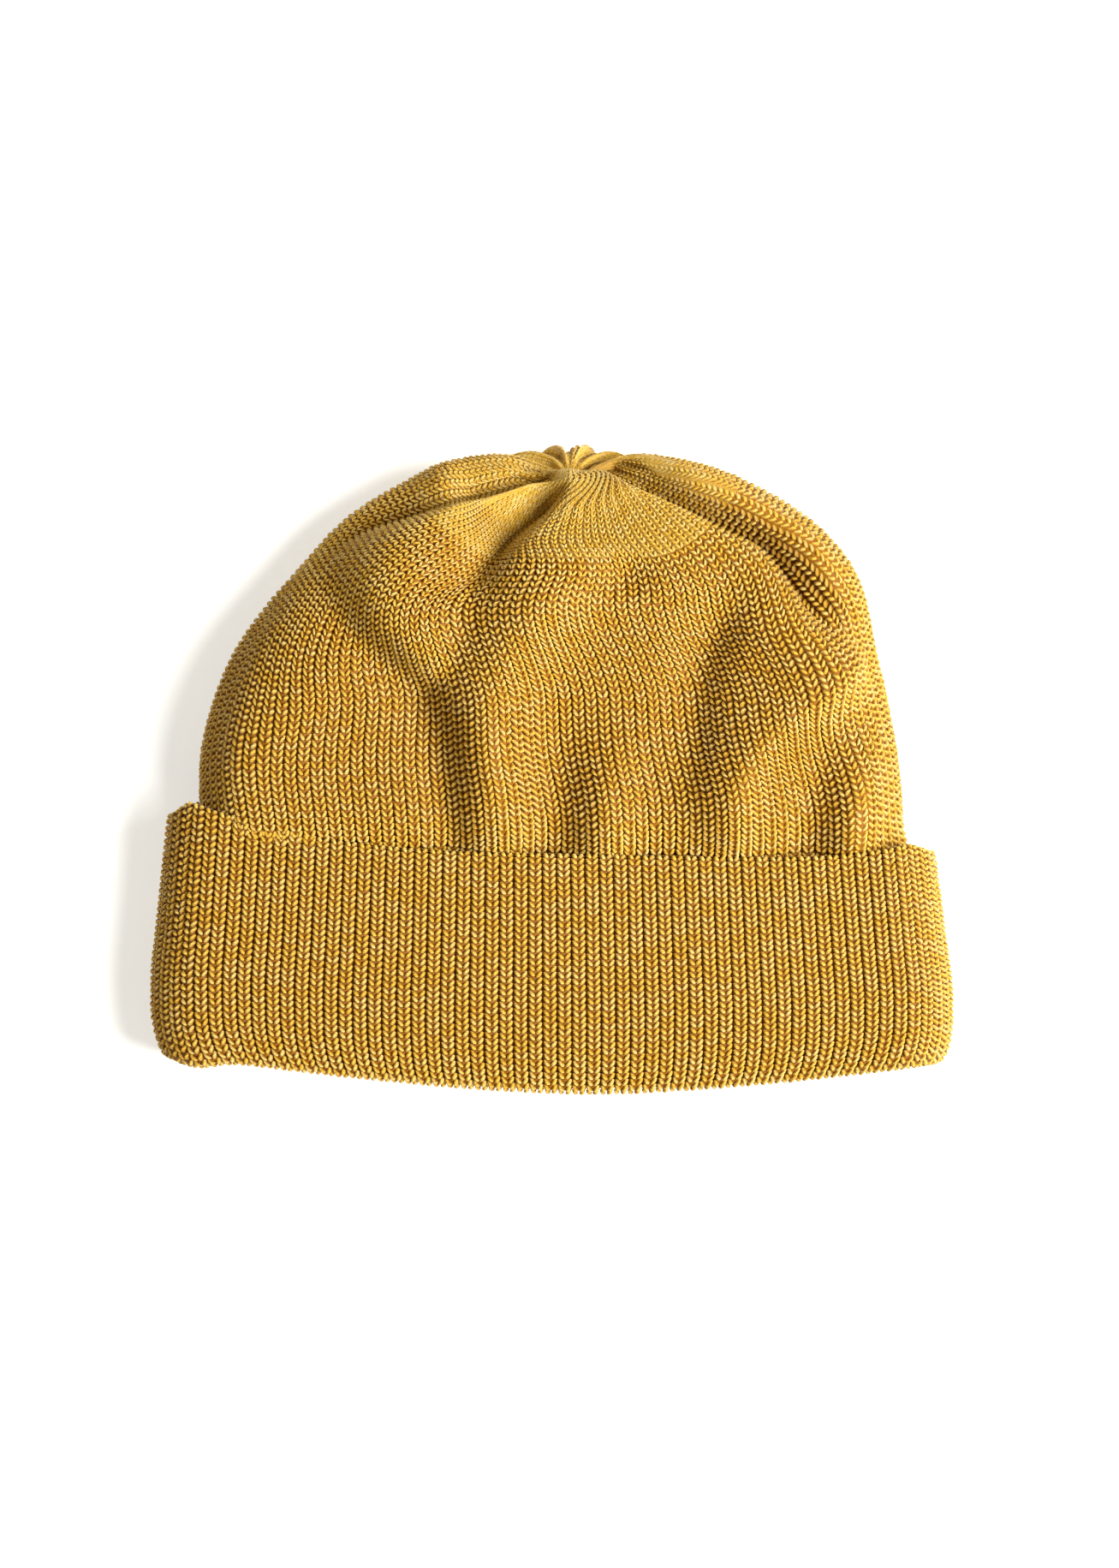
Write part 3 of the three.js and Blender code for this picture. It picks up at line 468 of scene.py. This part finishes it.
class Skin:
    """A surface sampled on even rows and columns: u counts ribs around the cap, v counts rows along them."""

    def __init__(self, points, first_row, rows_per_unit):
        self.points = points
        self.first_row = first_row
        self.rows_per_unit = rows_per_unit
        self.per_rib = points.shape[1] / RIBS
        along_u = (np.roll(points, -1, axis=1) - np.roll(points, 1, axis=1)) / 2
        along_v = np.gradient(points, axis=0)
        self.normals = unit(np.cross(along_v, along_u))
        half = int(self.per_rib) // 2
        width = np.linalg.norm(along_u, axis=-1) * self.per_rib
        self.rib_width = np.mean([np.roll(width, k, axis=1) for k in range(-half, half + 1)], axis=0)
        self.row_length = np.linalg.norm(along_v, axis=-1) * rows_per_unit
        self.sinking = self._room_to_sink(half + int(self.per_rib))

    def _room_to_sink(self, reach):
        """Share of their depth that grooves keep: none on a crest so sharp that they'd come out behind it."""
        ahead, behind = np.roll(self.normals, -reach, axis=1), np.roll(self.normals, reach, axis=1)
        across = np.roll(self.points, -reach, axis=1) - np.roll(self.points, reach, axis=1)
        crest = np.sum(across * (ahead - behind), axis=-1) > 0
        room = np.where(crest, smooth_step(*SHARP_TO_FLAT, np.sum(ahead * behind, axis=-1)), 1.0)
        return room * clamp01(self.rib_width / FULL_DEPTH_WIDTH)

    def _corners(self, u, v):
        column = np.asarray(u, float) * self.per_rib
        row = np.clip((v - self.first_row) * self.rows_per_unit, 0, len(self.points) - 1.001)
        i, j = np.floor(row).astype(int), np.floor(column).astype(int)
        count = self.points.shape[1]
        return row - i, column - j, i, j % count, (j + 1) % count

    def sample(self, grid, u, v):
        fi, fj, i, j, j1 = self._corners(u, v)
        if grid.ndim == 3:
            fi, fj = fi[..., None], fj[..., None]
        below = grid[i, j] * (1 - fj) + grid[i, j1] * fj
        above = grid[i + 1, j] * (1 - fj) + grid[i + 1, j1] * fj
        return below * (1 - fi) + above * fi

    def at(self, u, v, height):
        """Points at a height over the surface, kept on or above the floor."""
        u, v, height = np.broadcast_arrays(u, v, height)
        height = np.where(height < 0, height * self.sample(self.sinking, u, v), height)
        point = self.sample(self.points, u, v) + unit(self.sample(self.normals, u, v)) * height[..., None]
        point[..., 2] = rest_on_floor(point[..., 2] - KNIT_DROP, KNIT_SOFTNESS)
        return point


SKIN_COLUMNS = 8


def crown_skin():
    rows = np.arange(HEM_REACH, GATHER_REACH - 0.4, 1.0)
    angles = column_angles(crown_spacing, rows, RIBS * SKIN_COLUMNS, crowding, follow_seams)
    return Skin(crown_face(rows[:, None], angles), HEM_REACH, 1.0)


# The cuff's courses, counted down from its top edge: the outer face, the fold and the inner leg
OUTER_COURSES = 36
FOLD_COURSES = 5
INNER_COURSES = 10
RIM_COURSES = 1
FOLD_END = OUTER_COURSES + FOLD_COURSES
LAST_COURSE = FOLD_END + INNER_COURSES


def cuff_strip(course, angle):
    """Point of the cuff's outside at a course below its top edge."""
    course, angle = np.broadcast_arrays(np.asarray(course, float), angle)
    height = cuff_height(angle)
    point = np.zeros(course.shape + (3,))
    rim = course < 0
    outer = (course >= 0) & (course <= OUTER_COURSES)
    fold = (course > OUTER_COURSES) & (course <= FOLD_END)
    inner = course > FOLD_END
    turn = np.radians(90 * clamp01(-course[rim] / RIM_COURSES))
    above = height[rim] - RIM_ROUND + RIM_ROUND * np.sin(turn)
    point[rim] = cuff_point(above, RIM_ROUND * (1 - np.cos(turn)), angle[rim])
    outer_length = height[outer] - RIM_ROUND - FOLD_RADIUS
    above = height[outer] - RIM_ROUND - outer_length * course[outer] / OUTER_COURSES
    point[outer] = cuff_point(above, 0.0, angle[outer])
    point[fold] = fold_point(180 * (course[fold] - OUTER_COURSES) / FOLD_COURSES, FOLD_RADIUS, angle[fold])
    share = (course[inner] - FOLD_END) / INNER_COURSES
    above = FOLD_RADIUS + (INNER_LEG - FOLD_RADIUS) * share
    point[inner] = cuff_point(above, 2 * FOLD_RADIUS, angle[inner])
    return point


def cuff_skin():
    """Rows run upwards, so that both skins have their stitches the same way up."""
    rows_per_course = 3
    rows = np.arange(-LAST_COURSE * rows_per_course, RIM_COURSES * rows_per_course + 1) / rows_per_course
    angles = column_angles(cuff_face, [0.5], RIBS * SKIN_COLUMNS, evenly)
    return Skin(cuff_strip(-rows[:, None], angles), -LAST_COURSE, rows_per_course)


# Knit relief: depths in millimetres, and powers of the flanks of ribs and wales
CROWN_RIB_DEPTH = 1.3
CUFF_RIB_DEPTH = 1.8
RIB_EDGE = 6.0
BASE_SINK = 0.5
PLAIN_DEPTH = 0.8
PLEAT_DEPTH = 1.6
WALE_EDGE = 2.2
FIRST_PLEAT = 1.5

# Grooves have their full depth on ribs of this width, and none on crests as sharp as the first cosine
FULL_DEPTH_WIDTH = 2.4
SHARP_TO_FLAT = (-0.1, 0.8)

# The knit sinks by this much into the floor, and is then pressed flat this softly
KNIT_DROP = 0.1
KNIT_SOFTNESS = 0.4

# Reaches over which one kind of relief gives way to the next
HIDDEN_CHANGE = (-30, -10)
PLAIN_CHANGE = (PLAIN_REACH - 3, PLAIN_REACH + 1.5)
PLEATS_START = (98, 112)
PLEATS_END = (135, 122)
WALES_END = (134, 118)

# Near the cuff's top edge its ribs have this share of their depth
RIM_SHARE = 0.55
RIM_CHANGE = (1.0, -1.2)


def rib_profile(u, power):
    """0 on a rib's crest, -1 in the groove."""
    away = np.abs(u - np.round(u)) * 2
    return -(away ** power)


def crown_relief(u, v):
    """Relief of ribs, wales and pleats over the crown's skin."""
    plain = smooth_step(*PLAIN_CHANGE, v)
    ribs = rib_profile(u, RIB_EDGE) * CROWN_RIB_DEPTH * (1 - plain) * smooth_step(*HIDDEN_CHANGE, v)
    wales = rib_profile(u, WALE_EDGE) * PLAIN_DEPTH * plain * smooth_step(*WALES_END, v)
    pleats = 0.5 + 0.5 * np.cos(np.pi * (u - FIRST_PLEAT))
    pleats = pleats * smooth_step(*PLEATS_START, v) * smooth_step(*PLEATS_END, v)
    return ribs + wales - PLEAT_DEPTH * pleats


def cuff_relief(u, v):
    share = RIM_SHARE + (1 - RIM_SHARE) * smooth_step(*RIM_CHANGE, v)
    return rib_profile(u, RIB_EDGE) * CUFF_RIB_DEPTH * share


def make_mesh(name, points, quads, strand, material):
    """One mesh object from points in millimetres; strand holds what the yarn's material needs."""
    mesh = bpy.data.meshes.new(name)
    points = (np.asarray(points).reshape(-1, 3) + PLACE) * MM
    mesh.vertices.add(len(points))
    mesh.vertices.foreach_set("co", points.astype(np.float32).ravel())
    mesh.loops.add(4 * len(quads))
    mesh.loops.foreach_set("vertex_index", np.asarray(quads, np.int32).ravel())
    mesh.polygons.add(len(quads))
    mesh.polygons.foreach_set("loop_start", np.arange(len(quads), dtype=np.int32) * 4)
    mesh.polygons.foreach_set("use_smooth", np.ones(len(quads), bool))
    attribute = mesh.attributes.new("strand", "FLOAT_VECTOR", "POINT")
    attribute.data.foreach_set("vector", np.asarray(strand, np.float32).ravel())
    mesh.update(calc_edges=True)
    mesh.validate()
    mesh.materials.append(material)
    piece = bpy.data.objects.new(name, mesh)
    bpy.context.scene.collection.objects.link(piece)
    return piece


def wall_strand(points, off_crest=1.0):
    """Walls count as far from a yarn's crest, so they get the painted shade of the gaps; off_crest may go by
    row.
    """
    flat = np.broadcast_to(np.reshape(off_crest, (-1, 1)), points.shape[:-1]).ravel()
    return np.stack([np.zeros(len(flat)), flat, np.full(len(flat), 0.5)], axis=-1)


def ring_quads(rows, columns):
    """Quads of a grid whose columns close into rings, facing out."""
    i, j = np.meshgrid(np.arange(rows - 1), np.arange(columns), indexing="ij")
    j1 = (j + 1) % columns
    corners = (i * columns + j, i * columns + j1, (i + 1) * columns + j1, (i + 1) * columns + j)
    return np.stack(corners, axis=-1).reshape(-1, 4)


def joined(grids):
    """Several (points, quads) as one pair."""
    points, quads, count = [], [], 0
    for p, q in grids:
        p = p.reshape(-1, 3)
        points.append(p)
        quads.append(q + count)
        count += len(p)
    return np.vstack(points), np.vstack(quads)


WALL_COLUMNS = 4


def skin_grid(skin, rows, relief):
    """Part of a skin's base, under its stitches."""
    columns = RIBS * WALL_COLUMNS
    u = np.arange(columns)[None, :] / WALL_COLUMNS
    v = np.asarray(rows, float)[:, None]
    u, v = np.broadcast_arrays(u, v)
    points = skin.at(u, v, relief(u, v) - BASE_SINK)
    return points, ring_quads(len(rows), columns)


# Rows of the crown's walls in stretches of (first, end, step), and the depth of the ribs inside
RIBBED_ROWS = ((HEM_REACH, -6, 8.0), (-6, PLAIN_REACH + 1, 2.0))
PLAIN_ROWS = ((PLAIN_REACH, 98, 1.6), (98, GATHER_REACH - 1.0, 0.8))
LINING_ROWS = ((HEM_REACH, PLAIN_REACH, 4.0), (PLAIN_REACH, 98, 4.0))
LINING_RIB_DEPTH = 0.4

# Courses of the cuff's inner leg, fold and outer face in such stretches, counted up to its top edge
CUFF_ROWS = (
    (-LAST_COURSE, -FOLD_END, 2.0),
    (-FOLD_END, -OUTER_COURSES, 0.5),
    (-OUTER_COURSES, 0, 1.0),
)


def stretch_rows(stretches):
    return np.concatenate([np.arange(*stretch) for stretch in stretches])


def crown_lining():
    """Inside of the crown's wall, ribbed like its outside."""
    rows = stretch_rows(LINING_ROWS)
    columns = 2 * RIBS
    angles = column_angles(crown_spacing, rows, columns, crowding, follow_seams)

    def lining(reach, angle):
        return crown_face(reach, angle, WALL)

    depth = WALL - LINING_RIB_DEPTH * (np.arange(columns) % 2)[None, :]
    normal = normal_of(lining, rows[:, None], angles, LINING_STEP)
    points = lining(rows[:, None], angles) - normal * depth[..., None]
    return points, ring_quads(len(rows), columns)[:, ::-1]


def cuff_lining():
    """The hidden faces between the cuff's two legs."""
    columns = 2 * RIBS
    angles = column_angles(cuff_face, [0.5], columns, evenly)
    top = cuff_height(angles)
    rings = [
        cuff_point(INNER_LEG, 2 * FOLD_RADIUS, angles),
        cuff_point(INNER_LEG, INNER_LEG_DEPTH, angles),
        fold_point(180, LEG_GAP / 2, angles),
        fold_point(90, LEG_GAP / 2, angles),
        cuff_point(FOLD_RADIUS, WALL, angles),
        cuff_point(INNER_LEG, WALL, angles),
        cuff_point(0.65 * top, WALL, angles),
        cuff_point(top - RIM_ROUND, WALL, angles),
        cuff_point(top, WALL - RIM_ROUND, angles),
        cuff_point(top, RIM_ROUND, angles),
    ]
    points = np.concatenate(rings, axis=0)
    return points, ring_quads(len(rings), columns)[:, ::-1]


# Yarn arms of one knit stitch. Across is in ribs, along in courses, from the outer top to the middle bottom
RIB_ARM = dict(
    across=(0.42, 0.06), along=(0.46, -0.42), width=0.62, round=0.50, lift=0.0, bulge=0.50, sag=0.08,
)
PLAIN_ARM = dict(
    across=(0.42, 0.06), along=(0.62, -0.46), width=0.66, round=0.62, lift=0.05, bulge=0.40, sag=0.08,
)
FULL_RIB_WIDTH = 3.9
RIB_COURSE = 2.05
PLAIN_COURSE = 1.7
HIDDEN_REACH = -4
ARM_TAPER = 0.48
SMALLEST_ARM = 0.4
LARGEST_ARM = 1.15
SWELL_POWER = 0.7
MEAN_SWELL = 0.6
ARCH_POWER = 0.8
ARM_ROOT = 0.45
ACROSS_JITTER, ALONG_JITTER, THICKNESS_JITTER, HEIGHT_JITTER = 0.012, 0.04, 0.06, 0.04

# Rings along an arm and strips across it, where it shows, on the underside and on the plain top
SHOWN_ARM = (4, 4)
BACK_ARM = (3, 3)
TOP_ARM = (3, 4)
WALE_SAMPLES = 200


def stitch_arms(skin, u, v, course, relief, arm, rings, strips, rng):
    """Two arms for each stitch: half tubes that rise from the base, as (points, quads, strand)."""
    count = len(u)
    side = np.array([-1.0, 1.0]).reshape(1, 2, 1, 1)
    t = np.linspace(0, 1, rings + 1).reshape(1, 1, -1, 1)
    k = np.linspace(-1, 1, strips + 1).reshape(1, 1, 1, -1)
    u0, v0, pitch = u.reshape(-1, 1, 1, 1), v.reshape(-1, 1, 1, 1), course.reshape(-1, 1, 1, 1)
    rib_width = skin.sample(skin.rib_width, u, v).reshape(-1, 1, 1, 1)
    row_length = skin.sample(skin.row_length, u, v).reshape(-1, 1, 1, 1)
    scale = np.clip(rib_width / FULL_RIB_WIDTH, SMALLEST_ARM, LARGEST_ARM)
    jitter = rng.normal(0, 1, (4, count, 2, 1, 1))
    swell = np.sin(np.pi * t) ** SWELL_POWER
    inwards = arm["across"][1] - arm["across"][0]
    downwards = arm["along"][1] - arm["along"][0]
    across = arm["across"][0] + inwards * t + ACROSS_JITTER * jitter[0]
    along = arm["along"][0] + downwards * t - arm["sag"] * np.sin(np.pi * t) + ALONG_JITTER * jitter[1]
    slope_x = inwards * rib_width
    slope_y = (downwards - arm["sag"] * np.pi * np.cos(np.pi * t)) * pitch * row_length
    length = np.hypot(slope_x, slope_y)
    thick = (ARM_TAPER + (1 - ARM_TAPER) * swell) * (1 + THICKNESS_JITTER * jitter[2])
    offset = arm["width"] * thick * scale * np.sin(0.5 * np.pi * k)
    arm_u = u0 + side * (across - offset * slope_y / length / rib_width)
    arm_v = v0 + along * pitch + offset * slope_x / length / row_length
    arch = np.cos(0.5 * np.pi * k) ** ARCH_POWER * (1 + ARM_ROOT) - ARM_ROOT
    crest = relief(u0 + side * across, v0 + along * pitch)
    raised = arm["lift"] + arm["bulge"] * (swell - MEAN_SWELL) + arm["round"] * thick * arch
    height = crest + raised * scale + HEIGHT_JITTER * jitter[3]
    points = skin.at(arm_u, arm_v, height)
    travelled = t * length.mean(axis=2, keepdims=True)
    tone = rng.random((count, 1, 1, 1))
    # The offset across the arm also sets the painted shade towards the arm's flanks
    strand = np.stack(np.broadcast_arrays(travelled, offset, tone), axis=-1)
    a, b = np.meshgrid(np.arange(rings), np.arange(strips), indexing="ij")
    corner = a * (strips + 1) + b
    cell = np.stack([corner, corner + 1, corner + strips + 2, corner + strips + 1], axis=-1)
    cell = cell.reshape(1, 1, -1, 4)
    both = np.concatenate([cell, cell[..., ::-1]], axis=1)
    start = np.arange(2 * count).reshape(count, 2, 1, 1) * (rings + 1) * (strips + 1)
    return points.reshape(-1, 3), (both + start).reshape(-1, 4), strand.reshape(-1, 3)


def wale_stitches(skin, ribs, first, last, pitch):
    """Rib number, place and spacing of stitches that lie evenly along each rib."""
    fine = np.linspace(first, last, WALE_SAMPLES)
    places = []
    for rib in ribs:
        line = skin.sample(skin.points, np.full(len(fine), rib), fine)
        travelled = np.concatenate([[0], np.cumsum(np.linalg.norm(np.diff(line, axis=0), axis=1))])
        count = max(round(travelled[-1] / pitch), 1)
        edges = np.interp(np.linspace(0, travelled[-1], count + 1), travelled, fine)
        middles = (edges[1:] + edges[:-1]) / 2
        places.append(np.stack([np.full(count, rib), middles, np.diff(edges)]))
    return np.concatenate(places, axis=1)


def node(tree, kind, **inputs):
    """A shader node; inputs are set by name, and a socket links."""
    made = tree.nodes.new(kind)
    for key, value in inputs.items():
        if key.startswith("_"):
            setattr(made, key[1:], value)
            continue
        numbered = key[0] == "i" and key[1:].isdigit()
        socket = made.inputs[int(key[1:]) if numbered else key.replace("_", " ")]
        if isinstance(value, bpy.types.NodeSocket):
            tree.links.new(value, socket)
        else:
            socket.default_value = value
    return made


def ramp(tree, factor, stops):
    """Colour ramp through (place, colour) stops."""
    made = node(tree, "ShaderNodeValToRGB", Fac=factor)
    elements = made.color_ramp.elements
    while len(elements) < len(stops):
        elements.new(0.5)
    for element, (place, colour) in zip(elements, stops):
        element.position = place
        element.color = (*colour, 1.0)
    return made.outputs["Color"]


def maths(tree, operation, *values):
    """Output of a maths node on the given values or sockets."""
    inputs = {f"i{place}": value for place, value in enumerate(values)}
    return node(tree, "ShaderNodeMath", _operation=operation, **inputs).outputs[0]


def noise(tree, place, scale, detail, roughness):
    made = node(tree, "ShaderNodeTexNoise", Vector=place, Scale=scale, Detail=detail, Roughness=roughness)
    return made.outputs["Fac"]


# Yarn colours by tone, and a painted shade for the gaps between stitches and the arms' flanks; off-crest
# places are in millimetres
YARN_TONES = (
    (0.15, (0.66, 0.37, 0.025)),
    (0.45, (0.74, 0.47, 0.070)),
    (0.75, (0.75, 0.53, 0.15)),
)
# Painted shade: the colour that gaps between stitches and the flanks of the arms are darkened towards
PAINTED_GAP_SHADE = (0.27, 0.10, 0.0, 1)
SHADE_FROM, SHADE_FULL = 0.15, 0.66
PATCH_SCALE = 160.0
FIBRE_SCALE = 1900.0
PLY_PITCH = 0.75
PLY_SLANT = 1.1
PLY_SHARE = 0.35
BUMP_DEPTH = 0.00025


def yarn_material():
    """Yarn by its strand attribute: X along the arm, Y off its crest in millimetres, which sets a painted
    shade, Z its tone.
    """
    material = bpy.data.materials.new("mustard_yarn")
    material.use_nodes = True
    tree = material.node_tree
    tree.nodes.clear()
    place = node(tree, "ShaderNodeTexCoord").outputs["Object"]
    strand = node(tree, "ShaderNodeAttribute", _attribute_name="strand").outputs["Vector"]
    parts = node(tree, "ShaderNodeSeparateXYZ", Vector=strand).outputs
    patches = noise(tree, place, PATCH_SCALE, 3.0, 0.6)
    fibres = noise(tree, place, FIBRE_SCALE, 3.0, 0.7)
    half_strand = maths(tree, "MULTIPLY", parts["Z"], 0.5)
    colour = ramp(tree, maths(tree, "MULTIPLY_ADD", patches, 0.5, half_strand), YARN_TONES)
    far = maths(tree, "ABSOLUTE", parts["Y"])
    # Painted shade: away from the yarn's crest the colour is mixed towards the dark gap colour
    shade_share = node(tree, "ShaderNodeMapRange", Value=far, i1=SHADE_FROM, i2=SHADE_FULL, i3=0.0, i4=1.0).outputs[0]
    mixed = node(tree, "ShaderNodeMix", _data_type="RGBA", i0=shade_share, i6=colour, i7=PAINTED_GAP_SHADE).outputs[2]
    light_fibre = node(tree, "ShaderNodeMapRange", Value=fibres, i1=0.35, i2=0.75, i3=0.82, i4=1.18)
    shaded = node(tree, "ShaderNodeVectorMath", _operation="SCALE", i0=mixed, Scale=light_fibre.outputs[0])
    twist = maths(tree, "MULTIPLY_ADD", parts["Y"], PLY_SLANT, parts["X"])
    ply = maths(tree, "SINE", maths(tree, "MULTIPLY", twist, 2 * math.pi / PLY_PITCH))
    relief = maths(tree, "MULTIPLY_ADD", ply, PLY_SHARE, fibres)
    bump = node(tree, "ShaderNodeBump", Strength=0.7, Distance=BUMP_DEPTH, Height=relief).outputs["Normal"]
    base = shaded.outputs[0]
    surface = node(tree, "ShaderNodeBsdfPrincipled", Base_Color=base, Roughness=0.6, Normal=bump)
    surface.inputs["Specular IOR Level"].default_value = 0.2
    surface.inputs["Sheen Weight"].default_value = 0.1
    surface.inputs["Sheen Roughness"].default_value = 0.4
    node(tree, "ShaderNodeOutputMaterial", Surface=surface.outputs[0])
    return material


FLOOR_TONES = ((0.3, (0.86, 0.86, 0.86)), (0.7, (0.88, 0.88, 0.88)))
FLOOR_GLOW = (0.9, 0.95, 1, 1)
FLOOR_GLOW_STRENGTH = 0.55


def floor_material():
    material = bpy.data.materials.new("pale_floor")
    material.use_nodes = True
    tree = material.node_tree
    tree.nodes.clear()
    place = node(tree, "ShaderNodeTexCoord").outputs["Object"]
    grain = node(tree, "ShaderNodeTexNoise", Vector=place, Scale=40.0, Detail=2.0).outputs["Fac"]
    colour = ramp(tree, grain, FLOOR_TONES)
    surface = node(tree, "ShaderNodeBsdfPrincipled", Base_Color=colour, Roughness=0.9)
    surface.inputs["Emission Color"].default_value = FLOOR_GLOW
    surface.inputs["Emission Strength"].default_value = FLOOR_GLOW_STRENGTH
    node(tree, "ShaderNodeOutputMaterial", Surface=surface.outputs[0])
    return material


# Off-crest value for walls with close stitches or none, giving a painted shade about half as dark as in the
# gaps, and the number of the inner leg's courses that have stitches
HALF_SHADE = 0.4
STITCHED_INNER = 3


def build_crown(skin, yarn, rng):
    """Crown: its walls, the stitches of its ribs and those of its plain-knit top."""
    outside = skin_grid(skin, stretch_rows(RIBBED_ROWS), crown_relief)
    top = skin_grid(skin, stretch_rows(PLAIN_ROWS), crown_relief)
    inside = crown_lining()
    points, quads = joined([outside, top, inside])
    # The walls of the plain top and of the lining get half the painted shade
    half_shaded = [wall_strand(grid[0], HALF_SHADE) for grid in (top, inside)]
    strand = np.vstack([wall_strand(outside[0]), *half_shaded])
    walls = make_mesh("crown_walls", points, quads, strand, yarn)
    pieces = [walls]
    right = range(SEAMS["right_side"][0], RIBS // 2)
    left = range(RIBS // 2, SEAMS["left_side"][0] + 1)
    back = [i for i in range(RIBS) if i not in right and i not in left]
    sides = (("right", right, SHOWN_ARM), ("left", left, SHOWN_ARM), ("back", back, BACK_ARM))
    for name, ribs, detail in sides:
        cells = wale_stitches(skin, ribs, HIDDEN_REACH, PLAIN_REACH, RIB_COURSE)
        made = stitch_arms(skin, *cells, crown_relief, RIB_ARM, *detail, rng)
        pieces.append(make_mesh("crown_ribs_" + name, *made[:2], made[2], yarn))
    cells = wale_stitches(skin, range(RIBS), PLAIN_REACH, GATHER_REACH - 1, PLAIN_COURSE)
    made = stitch_arms(skin, *cells, crown_relief, PLAIN_ARM, *TOP_ARM, rng)
    pieces.append(make_mesh("crown_top_stitches", *made[:2], made[2], yarn))
    return pieces


def build_cuff(skin, yarn, rng):
    """Cuff: its walls, and the stitches of its ribs from the top edge round the fold."""
    rows = np.concatenate([stretch_rows(CUFF_ROWS), np.linspace(0, RIM_COURSES, 4)])
    outside = skin_grid(skin, rows, cuff_relief)
    hidden = cuff_lining()
    points, quads = joined([outside, hidden])
    # Cuff rows without stitches get half the painted shade, the others the full painted shade of the gaps
    bare = rows < -(FOLD_END + STITCHED_INNER - 1)
    strand = wall_strand(outside[0], np.where(bare, HALF_SHADE, 1.0))
    pieces = [make_mesh("cuff_walls", points, quads, np.vstack([strand, wall_strand(hidden[0])]), yarn)]
    front = range(RIBS // 4, RIBS // 4 + RIBS // 2)
    back = [i for i in range(RIBS) if i not in front]
    courses = -np.arange(-0.5, FOLD_END + STITCHED_INNER)
    for name, ribs, detail in (("front", front, SHOWN_ARM), ("back", back, BACK_ARM)):
        u, v = (cell.ravel() for cell in np.meshgrid(ribs, courses, indexing="ij"))
        made = stitch_arms(skin, u, v, np.ones(len(u)), cuff_relief, RIB_ARM, *detail, rng)
        pieces.append(make_mesh("cuff_ribs_" + name, *made[:2], made[2], yarn))
    return pieces


def add_area_light(name, place, target, size, power):
    data = bpy.data.lights.new(name, "AREA")
    data.shape = "DISK"
    data.size = size
    data.energy = power
    lamp = bpy.data.objects.new(name, data)
    bpy.context.scene.collection.objects.link(lamp)
    lamp.location = place
    lamp.rotation_euler = (Vector(target) - Vector(place)).to_track_quat("-Z", "Y").to_euler()


# The photo's frame: 4 pixels a millimetre, 1307 by 1831 pixels
PIXELS_PER_MM = 4.0
PHOTO_HEIGHT = 1831
PHOTO_CENTRE = np.array([2.25, -4.25]) + PLACE[:2]
CAMERA_HEIGHT = 1.8
SENSOR = 36.0
FOCUS_HEIGHT = 0.02

# Lights, tuned to the photo's soft daylight from the right
FILL_COLOUR = (1.0, 0.87, 0.6, 1.0)
FILL_STRENGTH = 0.35
KEY_PLACE = (0.84, -0.09, 1.12)
KEY_SIZE = 0.85
KEY_POWER = 41.5
FLOOR_SIZE = 8.0
FLOOR_DROP = 0.0002


def add_camera():
    data = bpy.data.cameras.new("camera")
    data.sensor_width = SENSOR
    data.lens = SENSOR * (CAMERA_HEIGHT - FOCUS_HEIGHT) / (PHOTO_HEIGHT / PIXELS_PER_MM * MM)
    camera = bpy.data.objects.new("camera", data)
    bpy.context.scene.collection.objects.link(camera)
    camera.location = (PHOTO_CENTRE[0] * MM, PHOTO_CENTRE[1] * MM, CAMERA_HEIGHT)
    bpy.context.scene.camera = camera


def add_studio():
    bpy.ops.mesh.primitive_plane_add(size=FLOOR_SIZE, location=(0, 0, -FLOOR_DROP))
    floor = bpy.context.active_object
    floor.name = "floor"
    floor.data.materials.append(floor_material())
    world = bpy.data.worlds.new("studio")
    bpy.context.scene.world = world
    world.use_nodes = True
    background = world.node_tree.nodes["Background"]
    background.inputs["Color"].default_value = FILL_COLOUR
    background.inputs["Strength"].default_value = FILL_STRENGTH
    add_area_light("key", KEY_PLACE, (0, 0, 0), KEY_SIZE, KEY_POWER)
    bpy.context.scene.view_settings.view_transform = "Standard"


def main():
    rng = np.random.default_rng(7)
    yarn = yarn_material()
    crown = build_crown(crown_skin(), yarn, rng)
    cuff = build_cuff(cuff_skin(), yarn, rng)
    for node_name, pieces in (("crown", crown), ("cuff", cuff)):
        for piece in pieces:
            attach(piece, "root")
            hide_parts(node_name)
    add_studio()
    add_camera()


main()
